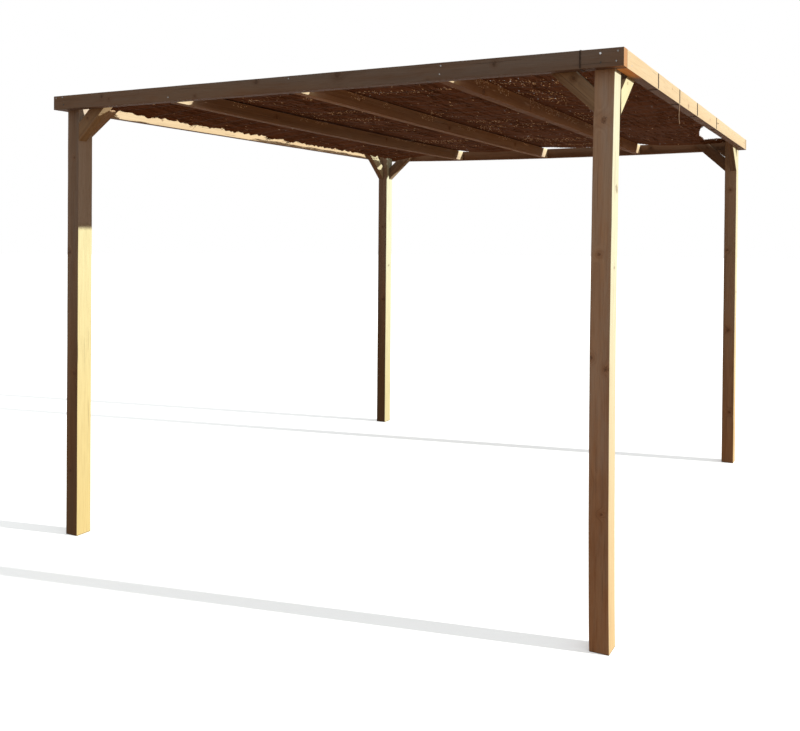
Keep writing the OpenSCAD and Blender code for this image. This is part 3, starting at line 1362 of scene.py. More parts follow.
class Heap:
    """Stems laid one by one, which become one piece."""

    def __init__(self) -> None:
        """Starts without stems."""
        self.points: list[np.ndarray] = []
        self.faces: list[tuple[int, ...]] = []
        self.tones: list[np.ndarray] = []
        self.count = 0

    def lay(self, points: np.ndarray, sides: Sequence[tuple[int, ...]], tone: float) -> None:
        """Adds a stem.

        Args:
            points: Its points.
            sides: Its faces, numbered from its own first point.
            tone: Its tone, from 0 to 1.
        """
        self.points.append(points)
        self.faces.extend(tuple(index + self.count for index in side) for side in sides)
        self.tones.append(np.full(len(points), tone))
        self.count += len(points)

    def build(self, name: str, material: Material) -> Object:
        """Makes the piece.

        Args:
            name: Its name.
            material: Its finish.

        Returns:
            The finished piece.
        """
        mesh = bpy.data.meshes.new(name)
        mesh.from_pydata(np.vstack(self.points).tolist(), [], self.faces)
        mesh.attributes.new("tone", "FLOAT", "POINT").data.foreach_set("value", np.hstack(self.tones))
        mesh.materials.append(material)
        take(placed(name, mesh))
        with editing():
            bpy.ops.mesh.select_all(action="SELECT")
            bpy.ops.mesh.normals_make_consistent(inside=False)
        return fit_out(bpy.context.object, name, Slot.HEATHER)


@dataclass
class HeatherMat:
    """One mat of heather stems that run from front to back, bound with wires across."""

    node: str
    seed: int
    drape: Drape
    stock: StemStock
    bundle: float = 22 * MM
    row: float = 11 * MM
    sheet_level: float = 3.2 * MM
    wire_gap: float = 130 * MM
    under_density: float = 250.0
    top_density: float = 620.0
    thin_rows: tuple[float, ...] = (-1.05, -0.78, -0.65, -0.40, 0.11, 0.16, 0.70, 0.85, 0.93)
    left_notch: tuple[float, float, float] = (-0.70, -0.40, 38 * MM)
    over: tuple[float, float] = (7.0 * MM, 1.2 * MM)
    under: tuple[float, float] = (1.6 * MM, 0.7 * MM)
    thickness: float = 0.4 * MM
    wire_radius: float = 0.6 * MM
    wire_levels: tuple[float, float] = (1.0 * MM, 8.6 * MM)
    wire_steps: int = 72
    gap_rim: float = 0.35 * MM

    def __post_init__(self) -> None:
        """Reads the mat's outline from the frame."""
        self.low, self.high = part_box(self.node)
        points = points_of(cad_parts[self.node])
        edge = points[points[:, 1] > self.low.y + 5 * MM]
        self.overhang = 22 * MM if self.node == "back_mat" else 0.0
        self.edge_x = np.unique(np.round(edge[:, 0], 4))
        self.edge_y = np.array([edge[np.abs(edge[:, 0] - x) < 1e-4, 1].max() for x in self.edge_x])
        self.chance = np.random.default_rng(self.seed)
        self.gaps = np.empty((0, 2))

    def back_at(self, x: np.ndarray) -> np.ndarray:
        """The mat's back edge; at the torn corner it reaches a little further right.

        Args:
            x: Places across.

        Returns:
            The edge's places towards the back.
        """
        shifted = x - 25 * MM * np.clip((1.345 - x) / 0.045, 0, 1) * (x > 1.2)
        back = np.interp(shifted, self.edge_x, self.edge_y)
        if self.overhang:
            back = np.maximum(back - 60 * MM * np.clip((x - 1.32) / 0.06, 0, 1), self.low.y + 4 * MM)
        return back + self.overhang * (back > self.high.y - 2 * MM)

    def front_at(self, x: np.ndarray) -> np.ndarray:
        """The mat's front edge; the front mat has a notch beside the left rafter.

        Args:
            x: Places across.

        Returns:
            The edge's places towards the back.
        """
        if self.node != "front_mat":
            return np.full(np.shape(x), self.low.y)
        start, end, depth = self.left_notch
        inside = np.clip(np.minimum(x - start, end - x) / (40 * MM), 0, 1)
        cut = np.clip((-1.09 - x) / (90 * MM), 0, 1)
        return self.low.y + 8 * MM + depth * inside + 45 * MM * cut

    def worn(self, x: np.ndarray, y: np.ndarray) -> np.ndarray:
        """How worn the mat is at a place: worn patches lie at the right of each rafter.

        Args:
            x: Places across.
            y: Places towards the back.

        Returns:
            From 0, sound, to 1, worn thin.
        """
        worn = np.zeros(np.shape(x))
        for index, rafter in enumerate((-self.drape.rafter_x, 0.0, self.drape.rafter_x)):
            away = x - rafter - 120 * MM
            beside = np.clip(1.5 - np.abs(away) / (75 * MM), 0, 1)
            patch = np.clip(3.0 * wave(5.0 + 2.3 * index, y, (0.43, 0.19)), 0, 1)
            worn = np.maximum(worn, beside * patch)
        return worn

    def porous(self, x: np.ndarray, y: np.ndarray) -> np.ndarray:
        """How often the mat has a narrow gap at a place.

        Args:
            x: Places across.
            y: Places towards the back.

        Returns:
            The chance of a gap in each valley between bundles.
        """
        narrow = np.full(x.shape, 0.003)
        narrow += 0.006 * (y < -0.75) * (x > -0.7)
        narrow += 0.012 * (y < -0.85) * (x > 0.70) * (x < 1.30)
        for index, thin in enumerate(self.thin_rows):
            patch = (wave(3.0 + index, x, (0.9, 0.33)) > -0.20) * (x > -0.75)
            narrow += 0.07 * (np.abs(y - thin) < self.row * 0.5) * patch
            narrow += 0.008 * (np.abs(y - thin) < self.row * 4) * patch
        return narrow * np.where((x > 1.05) & (y > -0.8), 0.25, 1.0)

    def sheet(self, material: Material) -> Object:
        """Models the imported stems: a draped grid with a ridge for each bundle and gaps between them.

        Args:
            material: Its finish.

        Returns:
            The finished piece.
        """
        bundles = round((self.high.x - self.low.x) / self.bundle)
        rows = round((self.high.y - self.low.y) / self.row)
        columns = 3 * bundles
        deselect()
        bpy.ops.mesh.primitive_grid_add(x_subdivisions=columns, y_subdivisions=rows, size=1.0)
        sheet = bpy.context.object
        grid = points_of(sheet)
        across = (grid[:, 0] + 0.5) * bundles
        back = grid[:, 1] + 0.5
        whole = np.floor(across + 1e-4)
        part = across - whole
        shaped = np.interp(part, (0.0, 1 / 3, 2 / 3, 1.0), (0.0, 0.17, 0.585, 1.0))
        ridge = np.interp(part, (0.0, 1 / 3, 2 / 3, 1.0), (-1.0, -1.0, 1.0, -1.0))
        share = (whole + shaped) / bundles
        drift = self.chance.normal(0, 2.0 * MM, bundles + 2)
        x = self.low.x + share * (self.high.x - self.low.x)
        inner = np.clip(np.minimum(x - self.low.x, self.high.x - x) / self.bundle, 0, 1)
        y = self.front_at(x) + back * (self.back_at(x) - self.front_at(x))
        x += inner * (drift[whole.astype(int)] + 3 * MM * wave(self.seed, y + whole * 0.37, (0.7, 0.23)))
        rim = np.clip(1 - (x - self.low.x) / (1.5 * self.bundle), 0, 1)
        x += rim * (13 * MM * wave(self.seed + 1, y, (0.193, 0.083, 0.041)) + 3 * MM)
        x -= self.drape.reach(x, y)
        ends = np.abs(back - 0.5) > 0.499
        y += np.where(ends, self.chance.uniform(-5, 0, len(y)) * MM * np.sign(0.5 - back), 0.0)
        sound = 1.0 - 0.85 * self.worn(x, y)
        z = self.drape.at(x, y) + self.sheet_level * self._clear_of_rafters(x)
        z += (1.0 * MM * ridge + self.chance.normal(0, 0.3 * MM, len(x))) * sound
        z -= rim * 10 * MM * (0.5 + 0.9 * wave(self.seed + 4, y, (0.153, 0.071, 0.043)))
        set_points(sheet, np.column_stack((x, y, z)))
        self._open_gaps(sheet, bundles)
        thick = sheet.modifiers.new("thickness", "SOLIDIFY")
        thick.thickness = self.thickness
        thick.offset = 0.0
        take(sheet)
        bpy.ops.object.modifier_apply(modifier=thick.name)
        smooth(sheet, 60)
        sheet.data.materials.append(material)
        return fit_out(sheet, f"{self.node}_sheet", Slot.HEATHER, self.node)

    def _clear_of_rafters(self, x: np.ndarray) -> np.ndarray:
        """0 on a rafter, where the mat is pressed flat, and 1 away from the rafters."""
        away = np.abs(np.abs(x) - self.drape.rafter_x * np.round(np.abs(x) / self.drape.rafter_x))
        return np.clip((away - 30 * MM) / (60 * MM), 0.1, 1)

    def _open_gaps(self, sheet: Object, bundles: int) -> None:
        """Opens gaps between the bundles and remembers where they are.

        Args:
            sheet: The draped grid.
            bundles: The number of bundles across.
        """
        columns = 3 * bundles
        middles = np.array([side.center for side in sheet.data.polygons])
        valley = np.arange(len(middles)) % columns % 3 == 0
        inside = (middles[:, 0] > self.low.x + 60 * MM) & (middles[:, 0] < self.high.x - 40 * MM)
        worn = self.worn(middles[:, 0], middles[:, 1])
        odds = np.where(valley, self.porous(middles[:, 0], middles[:, 1]) + 0.05 * worn, 0.004 * worn)
        open_all = inside & (self.chance.random(len(middles)) < odds)
        self.gaps = middles[open_all][:, :2]
        take(sheet)
        with editing():
            bpy.ops.mesh.select_mode(type="FACE")
            bpy.ops.mesh.select_all(action="DESELECT")
        sheet.data.polygons.foreach_set("select", open_all)
        with editing():
            bpy.ops.mesh.inset(thickness=self.gap_rim, use_individual=False)
            bpy.ops.mesh.delete(type="FACE")

    def _clear(self, x: float, y: float, length: float) -> int:
        """Counts the gaps that a stem would hide.

        Args:
            x: The stem's place across.
            y: Its start.
            length: Its length.

        Returns:
            The number of gaps.
        """
        if not len(self.gaps):
            return 0
        beside = np.abs(self.gaps[:, 0] - x) < 6 * MM
        over = (self.gaps[:, 1] > y - 25 * MM) & (self.gaps[:, 1] < y + length + 25 * MM)
        return int(np.count_nonzero(beside & over))

    def stems(self, top: bool, material: Material) -> Object:
        """Lays loose stems under or over the sheet.

        Args:
            top: True for the stems over the sheet.
            material: Their finish.

        Returns:
            The finished piece.
        """
        area = (self.high.x - self.low.x) * (self.high.y - self.low.y)
        count = round(area * (self.top_density if top else self.under_density))
        level, spread = self.over if top else self.under
        heap = Heap()
        for _ in range(count):
            best, fewest = None, 99
            for _ in range(1 if top else 6):
                x = self.chance.uniform(self.low.x + 8 * MM, self.high.x - 8 * MM)
                front = float(self.front_at(np.array(x)))
                span = float(self.back_at(np.array(x))) - front
                length = min(self.stock.length * self.chance.uniform(0.6, 1.15), span)
                y = front + self.chance.uniform(-0.004, 1.0) * (span - length)
                hidden = 0 if top else self._clear(x, y, length)
                if hidden < fewest:
                    best, fewest = (x, y, length), hidden
                if hidden == 0:
                    break
            x, y, length = best
            if fewest > 0 and self.chance.random() < 0.85:
                continue
            middle = np.array((x, y + length / 2))
            if self.chance.random() < 0.65 * float(self.worn(middle[:1], middle[1:]).max()):
                continue
            shape, sides = self.stock.one(self.chance)
            made = shape * (self.chance.choice((-1, 1)), length / self.stock.length, 1.0)
            if top:
                made[:, 2] *= 1.5
            if self.chance.random() < 0.5:
                made = np.column_stack((-made[:, 0], length - made[:, 1], made[:, 2]))
            turn = self.chance.normal(0, 0.05)
            there = np.column_stack((
                x + made[:, 0] + made[:, 1] * math.sin(turn), y + made[:, 1] * math.cos(turn), made[:, 2]
            ))
            there[:, 0] = np.clip(there[:, 0], self.low.x - 9 * MM, self.high.x)
            there[:, 0] -= self.drape.reach(there[:, 0], there[:, 1])
            there[:, 1] = np.minimum(there[:, 1], self.back_at(there[:, 0]) + 4 * MM)
            lift = self.drape.at(there[:, 0], there[:, 1]) + level
            there[:, 2] += lift + self.chance.normal(0, spread)
            heap.lay(there, sides, self.chance.random())
        return heap.build(f"{self.node}_stems_{'over' if top else 'under'}", material)

    def wires(self, material: Material) -> Object:
        """Binds the mat with wires across, one over and one under the stems.

        Args:
            material: Their finish.

        Returns:
            The finished piece.
        """
        lines = []
        place = self.low.y + 45 * MM
        while place < self.high.y - 20 * MM:
            reach = self.high.x - 4 * MM
            if self.node == "back_mat":
                held = self.edge_x[self.edge_y > place + 10 * MM]
                reach = min(reach, float(held.max()) if len(held) else reach)
            x = np.linspace(self.low.x + 4 * MM, reach, self.wire_steps)
            y = place + 2 * MM * wave(place * 9, x, (0.5, 0.21))
            for level in self.wire_levels:
                sway = 0.5 * MM * np.sin(TAU * x / self.bundle)
                lines.append(np.column_stack((x, y, self.drape.at(x, y) + level + sway)))
            place += self.wire_gap
        name = f"{self.node}_wires"
        wires = strands_of(name, lines, self.wire_radius, resolution=0)
        return fit_out(as_mesh(wires, material), name, Slot.HEATHER)


@dataclass
class HeatherRoof:
    """Three heather mats side by side, with a ragged free edge at the left."""

    drape: Drape = field(default_factory=Drape)
    nodes: tuple[tuple[str, int], ...] = (("front_mat", 11), ("middle_mat", 18), ("back_mat", 25))
    tufts: int = 3200
    brushes: tuple[float, ...] = (-0.77, -0.14, 0.06, 0.27)
    brush_reach: float = 45 * MM
    tuft_radius: float = 1.3 * MM
    strip_stems: int = 640
    strip_length: float = 100 * MM
    roll_stems: int = 520
    tuft_seed: int = 77
    strip_seed: int = 91
    roll_seed: int = 83

    def build(self) -> None:
        """Builds the mats and the tufts on the free edge."""
        stock = StemStock()
        packed, loose, wire = HEATHER.mat(), HEATHER.stem(), WIRE_ZINC.material()
        mats = [HeatherMat(node, seed, self.drape, stock) for node, seed in self.nodes]
        for mat in mats:
            mat.sheet(packed)
            mat.stems(False, loose)
            mat.stems(True, loose)
            mat.wires(wire)
        self._tufts(mats, loose)
        self._strip(mats[-1], loose)
        self._roll(mats, loose)

    def _roll(self, mats: Sequence[HeatherMat], material: Material) -> Object:
        """Heaps stems on top of the free edge, higher towards the back.

        Args:
            mats: The mats.
            material: The finish.

        Returns:
            The finished piece.
        """
        chance = np.random.default_rng(self.roll_seed)
        heap = Heap()
        front, back = mats[0].low.y + 0.22, mats[-1].high.y - 0.24
        for _ in range(self.roll_stems):
            shape, sides = mats[0].stock.one(chance)
            y = chance.uniform(front, back)
            there = shape + (self.drape.left_x + chance.uniform(10, 26) * MM, y, 0.0)
            high = 11 + 23 * min(max((y + 0.20) / 0.15, 0.0), 1.0)
            there[:, 2] += self.drape.at(there[:, 0], there[:, 1]) + (6 + chance.uniform(0, high)) * MM
            heap.lay(there, sides, chance.random())
        return heap.build("left_edge_roll", material)

    def _strip(self, mat: HeatherMat, material: Material) -> Object:
        """Leaves a strip of stems along the back of the torn corner.

        Args:
            mat: The back mat.
            material: The finish.

        Returns:
            The finished piece.
        """
        chance = np.random.default_rng(self.strip_seed)
        heap = Heap()
        edge = float(mat.edge_x[mat.edge_y > mat.high.y - 2 * MM].max())
        reach = mat.high.x - edge
        length = self.strip_length
        for _ in range(self.strip_stems):
            shape, sides = mat.stock.one(chance)
            made = shape * (chance.choice((-1.0, 1.0)), length / mat.stock.length, 1.7)
            there = made + (edge + chance.uniform(-0.02, 1.0) * reach, mat.high.y + 8 * MM - length, 0.0)
            there[:, 1] += chance.normal(0, 1.0) * MM
            there[:, 2] += self.drape.at(there[:, 0], there[:, 1]) + chance.uniform(-1.0, 11.0) * MM
            heap.lay(there, sides, chance.random())
        return heap.build("back_edge_strip", material)

    def _tufts(self, mats: Sequence[HeatherMat], material: Material) -> Object:
        """Lets short shoots hang out of the free edge.

        Args:
            mats: The mats.
            material: The finish.

        Returns:
            The finished piece.
        """
        chance = np.random.default_rng(self.tuft_seed)
        heap = Heap()
        sides = ((0, 1, 3), (1, 2, 3), (2, 0, 3), (2, 1, 0))
        front, back = mats[0].low.y + 110 * MM, mats[-1].high.y
        clumps = chance.uniform(front, back, self.tufts // 22)
        for index in range(self.tufts):
            y = float(np.clip(clumps[index % len(clumps)] + chance.normal(0, 7 * MM), front, back))
            size = chance.uniform(6, 24) * MM
            brush = min(self.brushes, key=lambda place: abs(place - y))
            if abs(brush - y) < self.brush_reach:
                y = brush + (y - brush) * 0.6
                size *= 2.6
            x = self.drape.left_x + chance.uniform(0, 13) * MM
            x -= float(self.drape.reach(np.array(x), np.array(y)))
            z = float(self.drape.at(np.array(x), np.array(y))) + chance.uniform(3, 11) * MM
            root = np.array((x, y, z))
            drop = 0.7 if abs(brush - y) < self.brush_reach else 0.35
            way = np.array((-1.0, chance.normal(0, 0.9), chance.normal(-drop, 0.45)))
            way /= np.linalg.norm(way)
            side = np.cross(way, (0, 0, 1.0))
            side /= np.linalg.norm(side)
            rise = np.cross(side, way)
            ways = [side * math.cos(turn) + rise * math.sin(turn) for turn in (0.0, TAU / 3, 2 * TAU / 3)]
            ring = [root + self.tuft_radius * outward for outward in ways]
            heap.lay(np.array([*ring, root + way * size]), sides, chance.random())
        return heap.build("left_edge_tufts", material)


# ---------------------------------------------------------------- ties and screws


@dataclass
class Tie:
    """Four turns of twine round a beam."""

    node: str
    material: Material
    turns: int = 4
    knot: Point | None = None

    def build(self) -> Object:
        """Winds the twine inside its node's band.

        Returns:
            The finished piece.
        """
        low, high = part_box(self.node)
        size = high - low
        along = 0 if size.x < size.y else 1
        across = 1 - along
        width = size[along]
        radius = width / self.turns / 2
        middle = (low + high) / 2
        half_w, half_h = size[across] / 2 - radius, size.z / 2 - radius
        steps = 28 * self.turns
        points = []
        for step in range(steps + 1):
            turn = step / steps * self.turns
            angle = TAU * turn
            c, s = math.cos(angle), math.sin(angle)
            reach = min(half_w / max(abs(c), 1e-6), half_h / max(abs(s), 1e-6))
            place = Vector(middle)
            place[along] = low[along] + radius + (width - 2 * radius) * step / steps
            place[across] += c * reach
            place.z += s * reach
            points.append(place)
        strands = [points]
        if self.knot:
            strands.extend(self._knot(Vector(self.knot), radius))
        name = f"{self.node}_twine"
        piece = as_mesh(strands_of(name, strands, radius), self.material)
        bpy.ops.object.shade_smooth()
        return fit_out(piece, name, Slot.TWINE, self.node)

    def _knot(self, place: Vector, radius: float) -> list[list[Vector]]:
        """Ties the two ends: a small overhand bow and a short end that lies on the beam.

        Args:
            place: Where the knot sits.
            radius: The twine's radius.

        Returns:
            The strands.
        """
        loop = []
        for step in range(37):
            t = TAU * step / 36
            loop.append(place + Vector((
                radius * math.sin(3 * t),
                3.0 * MM * (math.sin(t) + 0.9 * math.sin(2 * t)),
                3.0 * MM * (math.cos(t) - 0.9 * math.cos(2 * t)),
            )))
        end = [
            place + Vector((0, step * 5 * MM, 6 * MM * math.sin(step / 12 * 2.2)))
            for step in range(13)
        ]
        return [loop, end]


@dataclass
class LooseEnd:
    """The second tie's loose end, which hangs below the right beam."""

    material: Material
    radius: float = 1.5 * MM
    node: str = "right_tie_2_tail"
    start: Point = (1.500, -0.595, 2.168)
    drops: tuple[tuple[float, float, float], ...] = (
        (-1, 0, 0), (-1, 0, -6), (-1, 0.5, -12), (-1.5, 1, -19), (-2, 1.5, -25),
        (-2.5, 2, -31), (-3, 3, -37), (-3.5, 4, -44), (-4, 5, -50), (-4, 6, -56),
        (-4, 7, -63), (-4, 8, -69), (-3.5, 9, -75), (-3, 10, -82), (-2.5, 11, -88),
    )

    def build(self) -> Object:
        """Returns:
            The finished piece.
        """
        route = [Vector(self.start) + Vector(drop) * MM for drop in self.drops]
        piece = strands_of(f"{self.node}_twine", [route], self.radius)
        piece.data.materials.append(self.material)
        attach(piece, BODY)
        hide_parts(self.node)
        2 * self.radius
        return piece


@dataclass
class Screws:
    """Countersunk screw heads with a round recess."""

    head: float
    material: Material

    def _model(self) -> Object:
        """Models one head that looks along +Z, with its face at the origin.

        Returns:
            The head.
        """
        deselect()
        bpy.ops.mesh.primitive_cylinder_add(
            vertices=16, radius=self.head, depth=3 * MM, location=(0, 0, -1.5 * MM)
        )
        head = bpy.context.object
        settle(head)
        with editing():
            pick(head, edge=lambda a, b: a.z > -0.1 * MM and b.z > -0.1 * MM)
            bpy.ops.mesh.bevel(offset=0.5 * MM, segments=2)
            pick(head, face=lambda centre, normal: normal.z > 0.99)
            bpy.ops.mesh.inset(thickness=0.45 * self.head)
            bpy.ops.mesh.extrude_region_move(TRANSFORM_OT_translate={"value": (0, 0, -1.2 * MM)})
        return head

    def drive(self, name: str, places: Sequence[Point], out: Point) -> Object:
        """Copies the head to every place on one face.

        Args:
            name: The piece's name.
            places: The places.
            out: The way that the heads look.

        Returns:
            The finished piece.
        """
        model = self._model()
        turn = Vector(out).to_track_quat("Z", "Y").to_matrix().to_4x4()
        heads = []
        for index, place in enumerate(places):
            copy = placed(name, model.data.copy())
            spin = Matrix.Rotation(0.7 * index, 4, "Z")
            copy.matrix_world = Matrix.Translation(place) @ turn @ spin
            settle(copy)
            heads.append(copy)
        bpy.data.objects.remove(model)
        piece = joined(heads)
        piece.data.materials.append(self.material)
        smooth(piece, 35)
        return fit_out(piece, name, Slot.SCREW)


# ---------------------------------------------------------------- frame of the pergola


class Timberwork:
    """A group of timbers."""

    def timbers(self) -> list[Timber]:
        """The group's timbers, in the order in which they are built."""
        raise NotImplementedError

    def build(self) -> list[Object]:
        """Builds the group."""
        return [timber.build() for timber in self.timbers()]


@dataclass
class Posts(Timberwork):
    """The four posts; the front right one is a little crooked."""

    front_right: Knots = knots_at(
        (1.985, 2, -40, 13), (1.487, -8, -40, 8), (1.437, 40, 2, 6), (1.100, -34, -40, 8),
        (1.062, 26, -40, 11), (0.52, 10, -40, 6), (0.62, -40, 10, 12), (1.70, 0, 40, 11),
    )
    front_left: Knots = knots_at(
        (1.93, 8, -40, 7), (1.45, -20, -40, 9), (0.83, 15, -40, 12), (0.33, -10, -40, 8)
    )
    back_left: Knots = knots_at(
        (1.62, 0, -40, 9), (1.02, 12, -40, 12), (0.41, -12, -40, 8), (1.3, 40, 0, 10)
    )
    back_right: Knots = knots_at(
        (1.886, 0, -40, 8), (1.471, -18, -40, 11), (0.918, -6, -40, 13), (0.35, 10, -40, 9),
        (1.18, 40, 10, 10),
    )
    crook: float = -10 * MM

    def timbers(self) -> list[Timber]:
        """The posts, round from the front right one."""
        rows = (
            ("front_right", POST_WOOD, 3, self.front_right, (-0.012, 0.047), self.crook),
            ("front_left", SHADED_POST_WOOD, 8, self.front_left, (0.030, 0.055), 0.0),
            ("back_left", FAR_POST_WOOD, 12, self.back_left, (-0.050, 0.020), 0.0),
            ("back_right", BACK_POST_WOOD, 17, self.back_right, (0.010, 0.050), 0.0),
        )
        return [
            Timber(f"{corner}_post", Run.UP, finish, Slot.POST, seed, knots, pith, crook=crook)
            for corner, finish, seed, knots, pith, crook in rows
        ]


@dataclass
class BeamRing(Timberwork):
    """The ring of four beams."""

    front: Knots = knots_at(
        (2.481, -22.5, 10, 9), (0.342, -22.5, 12, 7), (0.392, -22.5, 0, 6), (1.31, -22.5, 22, 10),
        (1.74, 22.5, 0, 12), (0.95, -22.5, -22, 7), (2.18, 0, -35, 8),
    )
    back: Knots = knots_at(
        (0.55, -22.5, 0, 9), (1.42, 22.5, -10, 11), (2.33, -22.5, 10, 10), (2.72, 22.5, 15, 7),
        (2.812, -22.5, -13, 7), (2.845, -22.5, -16, 8),
    )
    right: Knots = knots_at(
        (0.72, -22.5, 12, 6), (1.61, -22.5, -6, 7), (2.35, -22.5, 14, 6), (1.05, 22.5, 0, 10)
    )
    left: Knots = knots_at(
        (0.60, -22.5, 0, 8), (1.55, -22.5, 12, 9), (2.22, 22.5, -10, 10), (0.95, 22.5, 12, 8)
    )

    def timbers(self) -> list[Timber]:
        """The two full beams, then the two between them."""
        rows = (
            ("front", Run.ACROSS, FRONT_WOOD, 21, self.front, (0.060, -0.020)),
            ("back", Run.ACROSS, BACK_BEAM_WOOD, 26, self.back, (0.050, 0.030)),
            ("left", Run.BACK, BEAM_WOOD, 31, self.left, (0.055, -0.018)),
            ("right", Run.BACK, BEAM_WOOD, 36, self.right, (0.060, 0.012)),
        )
        return [
            Timber(f"{side}_beam", run, finish, Slot.BEAM, seed, knots, pith)
            for side, run, finish, seed, knots, pith in rows
        ]


@dataclass
class Rafters(Timberwork):
    """The three rafters; the right one keeps its waney edge."""

    left: Knots = knots_at(
        (0.70, -22.5, 0, 9), (1.80, -22.5, 12, 11)
    )
    middle: Knots = knots_at(
        (0.45, -22.5, 10, 8), (1.35, -22.5, -10, 12), (2.30, -22.5, 0, 9)
    )
    right: Knots = knots_at(
        (0.33, -22.5, -18, 15), (0.86, -22.5, -12, 12), (1.42, -22.5, 8, 11), (2.05, -22.5, -10, 12),
    )
    wane: float = 7 * MM

    def timbers(self) -> list[Timber]:
        """The rafters, from the left."""
        rows = (
            ("left", RAFTER_WOOD, 41, self.left, (0.055, 0.02), 0.0),
            ("middle", MIDDLE_RAFTER_WOOD, 46, self.middle, (0.050, -0.03), 0.0),
            ("right", RIGHT_RAFTER_WOOD, 51, self.right, (0.045, 0.02), self.wane),
        )
        return [
            Timber(f"{side}_rafter", Run.BACK, finish, Slot.RAFTER, seed, knots, pith, wane=wane)
            for side, finish, seed, knots, pith, wane in rows
        ]


@dataclass
class Braces(Timberwork):
    """The eight corner braces, two at each post."""

    corners: tuple[str, ...] = ("front_left", "front_right", "back_left", "back_right")
    ways: tuple[tuple[str, Run], ...] = (("cross", Run.ACROSS), ("side", Run.BACK))
    rise: float = 20 * MM
    half_width: float = 22.5

    def timbers(self) -> list[Timber]:
        """The braces, corner by corner; the front left side brace reaches up behind the mat's corner.

        Returns:
            The braces.
        """
        made = []
        for index, corner in enumerate(self.corners):
            for turn, (kind, run) in enumerate(self.ways):
                side = self.half_width if (index + turn) % 2 else -self.half_width
                knots = knots_at((0.16 + 0.03 * index, side, 10, 7), (0.30, -side, -12, 6))
                pith = (0.05 if side < 0 else -0.05, 0.03 - 0.02 * index)
                finish = SHADED_BACK_BRACE_WOOD if corner.startswith("back") else BRACE_WOOD
                rise = 0.0
                if (corner, kind) == ("front_left", "side"):
                    finish, rise = SHADED_BRACE_WOOD, self.rise
                node, seed = f"{corner}_{kind}_brace", 60 + 5 * index + 2 * turn
                made.append(Brace(node, run, finish, Slot.BRACE, seed, knots, pith, rise=rise))
        return made


@dataclass
class Ties:
    """The twine that holds the roof to the front beam and the right beam."""

    material: Material
    nodes: tuple[str, ...] = ("front_tie", "right_tie_1", "right_tie_2", "right_tie_3")
    knotted: str = "right_tie_4"
    knot: Point = (1.5012, 0.354, 2.206)

    def build(self) -> list[Object]:
        """Winds the plain ties, then the one whose knot shows."""
        ties = [Tie(node, self.material) for node in self.nodes]
        return [tie.build() for tie in (*ties, Tie(self.knotted, self.material, knot=self.knot))]


@dataclass
class BeamScrews:
    """The beams' screws, each at metres along the beam and millimetres below its top."""

    front: Marks = (
        (-1.481, 11), (-1.435, 9), (-0.715, 52), (-0.009, 13), (0.746, 14), (0.741, 47), (1.478, 14),
        (1.472, 50),
    )
    front_dark: Marks = ((-1.427, 48), (1.412, 51))
    front_large: Marks = ((1.411, 18),)
    back_ends: Marks = ((1.478, 16), (1.474, 52), (1.412, 18), (1.415, 50))
    rafters: Marks = tuple((x, down) for x in (-0.73, 0.0, 0.73) for down in (16, 50))
    side_ends: Marks = ((1.417, 21), (1.394, 50))
    outer_face: float = 1.5
    small: float = 3.0 * MM
    large: float = 4.2 * MM

    def build(self) -> list[Object]:
        """Drives the screws.

        Returns:
            The finished pieces.
        """
        large = Screws(self.large, SCREW_ZINC.material())
        small = Screws(self.small, SCREW_DULL.material())
        dark = Screws(self.small, SCREW_DARK.material())
        front_face = CAD_BOX[0].y
        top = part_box("front_beam")[1].z
        sets = (
            (small, "front_beam_screws", self.front),
            (dark, "front_beam_dark_screws", self.front_dark),
            (large, "front_beam_large_screw", self.front_large),
        )
        made = []
        for screws, name, marks in sets:
            places = [(x, front_face, top - down * MM) for x, down in marks]
            made.append(screws.drive(name, places, (0, -1, 0)))
        line = TopLine("back_beam", 0)
        marks = (*self.at_both_ends(self.back_ends), *self.rafters)
        places = [(x, self.outer_face, float(line.at(np.array(x))) - down * MM) for x, down in marks]
        made.append(small.drive("back_beam_screws", places, (0, 1, 0)))
        for name, way in (("right_beam_screws", 1), ("left_beam_screws", -1)):
            marks = self.at_both_ends(self.side_ends)
            places = [(way * self.outer_face, y, top - down * MM) for y, down in marks]
            made.append(small.drive(name, places, (way, 0, 0)))
        return made

    @staticmethod
    def at_both_ends(marks: Marks) -> Marks:
        """The places at one end of a beam, mirrored and then as they are."""
        return tuple((side * x, down) for side in (-1, 1) for x, down in marks)


# ---------------------------------------------------------------- studio


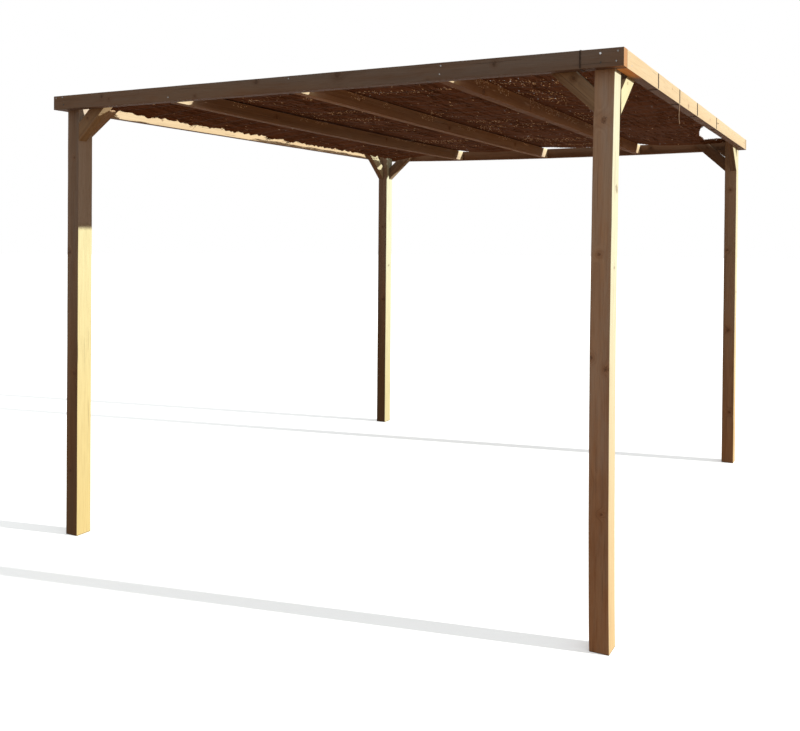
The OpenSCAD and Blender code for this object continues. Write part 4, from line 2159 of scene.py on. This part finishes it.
@dataclass
class Studio:
    """Camera, lamps, floor and surroundings."""

    eye: Point = (2.3427, -4.3318, 1.5508)
    yaw: float = 0.4120
    pitch: float = -0.0090
    roll: float = 0.0098
    lens: float = 36.526
    shift: tuple[float, float] = (-0.1522, -0.1522)
    sun_turn: float = math.radians(10)
    sun_height: float = math.radians(11.6)
    sun_strength: float = 8.5
    sun_width: float = math.radians(0.53)
    sun_colour: Colour = (0.97, 0.98, 0.92)
    sky: float = 0.72
    sky_colour: Colour = (0.97, 1.0, 1.0)
    floor_colour: Colour = (0.42, 0.22, 0.10)
    floor_reach: float = 60.0
    floor_glow: float = 0.25

    def camera(self) -> None:
        """Sets up the camera."""
        data = bpy.data.cameras.new("camera")
        data.lens = self.lens
        data.sensor_width = 36.0
        data.shift_x, data.shift_y = self.shift
        data.clip_end = 200.0
        camera = placed("camera", data)
        turn = Matrix.Rotation(self.yaw, 3, "Z") @ Matrix.Rotation(math.pi / 2 + self.pitch, 3, "X")
        turn = turn @ Matrix.Rotation(self.roll, 3, "Z")
        camera.matrix_world = Matrix.Translation(self.eye) @ turn.to_4x4()
        bpy.context.scene.camera = camera

    def light(self) -> None:
        """Lights the pergola with one low, hard sun and an even surround that the camera sees as white."""
        scene = bpy.context.scene
        scene.view_settings.view_transform = "Standard"
        lamp = bpy.data.lights.new("low_sun", "SUN")
        lamp.energy = self.sun_strength
        lamp.color = self.sun_colour
        lamp.angle = self.sun_width
        sun = placed("low_sun", lamp)
        way = Vector((
            math.cos(self.sun_height) * math.cos(self.sun_turn),
            math.cos(self.sun_height) * math.sin(self.sun_turn),
            math.sin(self.sun_height),
        ))
        sun.rotation_euler = way.to_track_quat("Z", "Y").to_euler()
        bench = Bench("surround", world=True)
        scene.world = bench.material
        even = bench.node("Background", {0: (*self.sky_colour, 1.0), 1: self.sky})
        white = bench.node("Background", {0: WHITE, 1: 1.0})
        inputs = {0: bench.seen(), 1: bench.out(even), 2: bench.out(white)}
        either = bench.node("MixShader", inputs)
        bench.node("OutputWorld", {0: bench.out(either)})

    def floor(self) -> None:
        """Lays the floor: white to the camera, brown in the light that it throws back."""
        deselect()
        bpy.ops.mesh.primitive_circle_add(vertices=96, radius=self.floor_reach, fill_type="NGON")
        floor = bpy.context.object
        floor.name = "floor"
        bench = Bench("pale_floor")
        brown = bench.node("BsdfDiffuse", {"Color": (*self.floor_colour, 1.0)})
        white = bench.node("BsdfDiffuse", {"Color": WHITE})
        glow = bench.node("Emission", {"Color": WHITE, "Strength": self.floor_glow})
        shown = bench.node("AddShader", {0: bench.out(white), 1: bench.out(glow)})
        inputs = {0: bench.seen(), 1: bench.out(brown), 2: bench.out(shown)}
        either = bench.node("MixShader", inputs)
        bench.node("OutputMaterial", {"Surface": bench.out(either)})
        floor.data.materials.append(bench.material)


def main() -> None:
    """Builds the studio and the pergola."""
    logging.basicConfig(level=logging.INFO, format="%(message)s")
    studio = Studio()
    studio.camera()
    twine = TWINE.material()
    LooseEnd(BARE_TWINE.material()).build()
    studio.light()
    studio.floor()
    for part in (
        Posts(), BeamRing(), Rafters(), Braces(), Offcut(), HeatherRoof(), Ties(twine), BeamScrews(),
    ):
        part.build()


if __name__ == "__main__":
    main()
